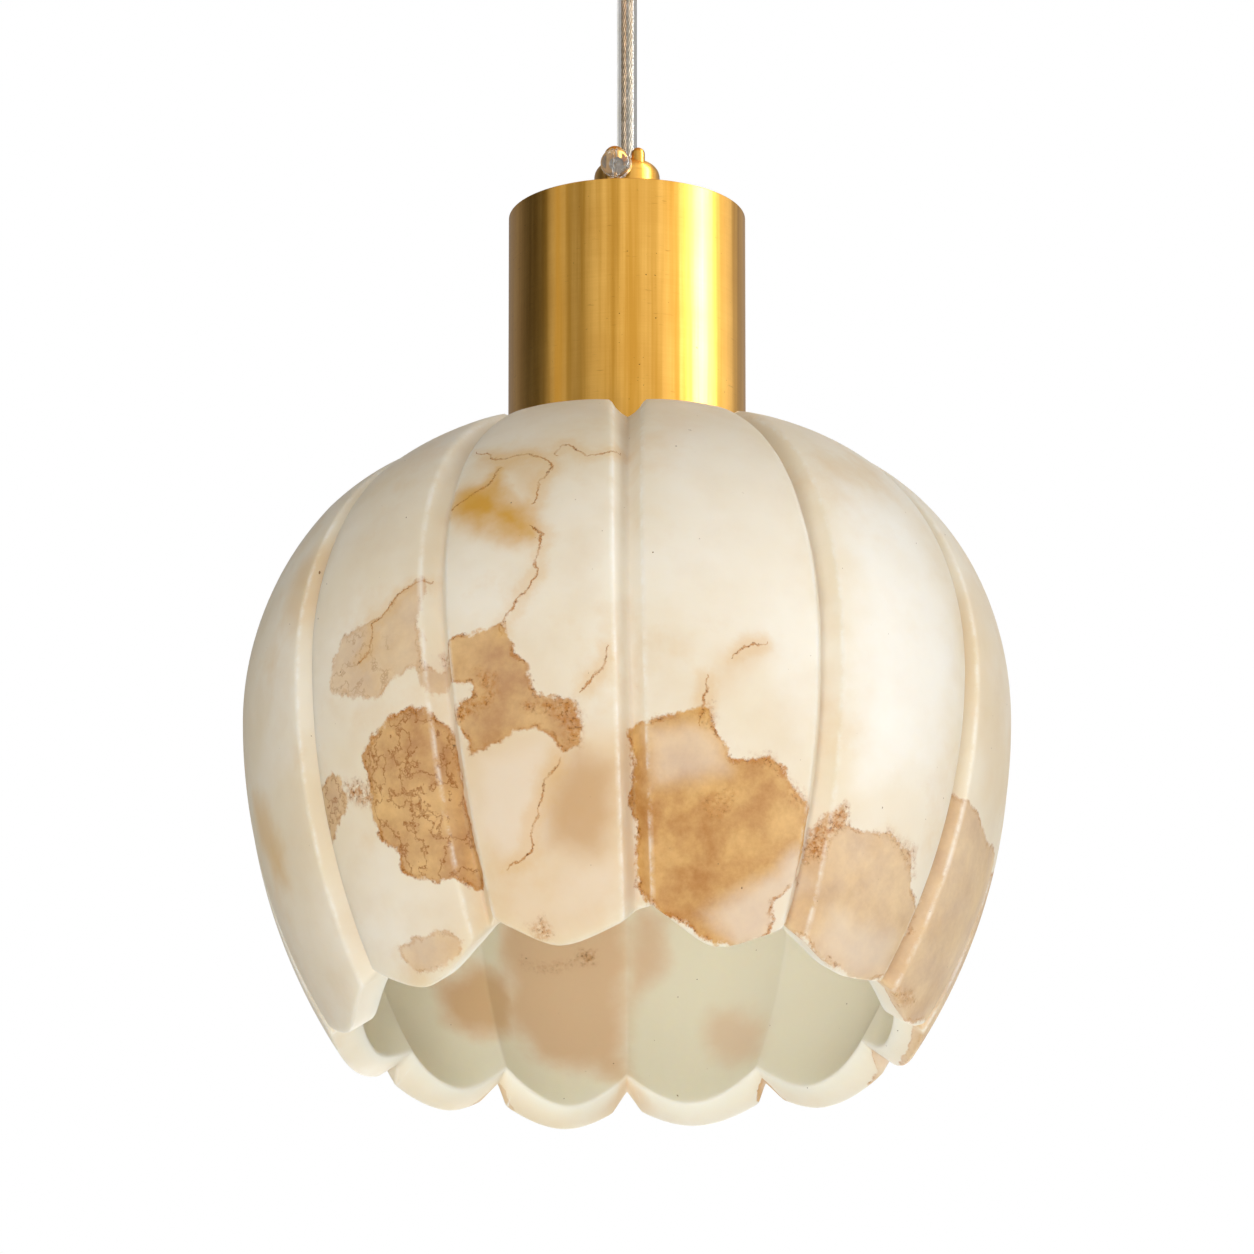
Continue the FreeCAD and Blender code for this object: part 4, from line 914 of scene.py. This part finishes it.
studio = {
    "floor": -3.0,
    "floorSize": 12,
    "aim": Vector((0, 0, -0.2)),  # what the lamps point at
    "worldLight": 0.42,
    "keyPlace": (1.7, -0.5, 0.3),
    "keySize": (1.0, 1.5),
    "keyPower": 14,
    "fillPlace": (-0.35, -2.0, -1.45),  # low in front, so that it also lights the inside of the far wall
    "fillSize": (1.2, 1.2),
    "fillPower": 33,
    "backPlace": (0.3, 1.8, -1.1),
    "backSize": (1.2, 1.2),
    "backPower": 24,
    "reflectorRadius": 1.5,
    "reflectorHeights": (-1.2, 1.8),
}
# what brass and clear plastic see round them: from and to, in degrees from the front to the right, and
# how bright
reflectors = [(-172, -122, 0.3), (-122, -80, 0.08), (-80, -68, 1.0), (-62, -40, 0.36), (-38, -18, 0.7),
              (-14, -6, 0.5), (24, 34, 1.1), (36, 62, 1.35), (72, 84, 20.0), (126, 176, 0.4)]


def seenStraight(tree):
    # 1 for the camera's rays and for those in gloss and glass, which see the pale studio as white
    path = tree.nodes.new("ShaderNodeLightPath")
    mirrored = combine(tree, "MAXIMUM", path.outputs["Is Glossy Ray"], path.outputs["Is Transmission Ray"])
    return combine(tree, "MAXIMUM", path.outputs["Is Camera Ray"], mirrored)


def makeFloor():
    material = bpy.data.materials.new("paleFloor")
    material.use_nodes = True
    tree = material.node_tree
    glow = add(tree, "Emission", {"Color": (1, 1, 1, 1), "Strength": 1.0})
    matt = add(tree, "BsdfDiffuse", {"Color": linear("#EDEDEC")})
    mixed = add(tree, "MixShader", (), {0: seenStraight(tree), 1: matt, 2: glow})
    tree.links.new(mixed, tree.nodes["Material Output"].inputs["Surface"])
    bm = bmesh.new()
    bmesh.ops.create_grid(bm, x_segments=1, y_segments=1, size=studio["floorSize"])
    bmesh.ops.translate(bm, verts=bm.verts[:], vec=(0, 0, studio["floor"]))
    floor = linkPiece("floor", finishMesh(bm, "floor"), material)


def makeWorld():
    world = bpy.data.worlds.new("studio")
    world.use_nodes = True
    bpy.context.scene.world = world
    tree = world.node_tree
    back = tree.nodes["Background"]
    back.inputs["Color"].default_value = (1, 1, 1, 1)
    tree.links.new(spread(tree, seenStraight(tree), 0, 1, studio["worldLight"], 1.0), back.inputs["Strength"])


def addLamp(name, place, size, power):
    lamp = bpy.data.lights.new(name, "AREA")
    lamp.shape = "RECTANGLE"
    lamp.size, lamp.size_y = size
    lamp.energy = power
    piece = linkPiece(name, lamp)
    piece.location = place
    piece.rotation_euler = (studio["aim"] - Vector(place)).to_track_quat("-Z", "Y").to_euler()


def addReflector(number, start, end, glow):
    # an upright curved card that only gloss and glass see, as a studio's flags and strip lights shape brass
    name = f"reflector{number}"
    material = bpy.data.materials.new(name)
    material.use_nodes = True
    tree = material.node_tree
    light = add(tree, "Emission", {"Color": (1, 1, 1, 1), "Strength": glow})
    tree.links.new(light, tree.nodes["Material Output"].inputs["Surface"])
    bm = bmesh.new()
    low, high = studio["reflectorHeights"]
    turn = Matrix.Rotation(math.radians(start), 3, "Z")
    foot = bm.verts.new(turn @ Vector((0, -studio["reflectorRadius"], low)))
    head = bmesh.ops.extrude_vert_indiv(bm, verts=[foot])
    head["verts"][0].co.z = high
    bmesh.ops.spin(bm, geom=[foot, *head["verts"], *head["edges"]], cent=(0, 0, 0), axis=(0, 0, 1),
                   angle=math.radians(end - start), steps=6, use_duplicate=False)
    card = linkPiece(name, finishMesh(bm, name), material)
    card.visible_camera = False
    card.visible_diffuse = False
    card.visible_shadow = False


makeFloor()
makeWorld()
for lamp in ("key", "fill", "back"):
    addLamp(lamp + "Light", studio[lamp + "Place"], studio[lamp + "Size"], studio[lamp + "Power"])
for number, (start, end, glow) in enumerate(reflectors, start=1):
    addReflector(number, start, end, glow)
bpy.context.scene.view_settings.view_transform = "Standard"
print("studio lit")
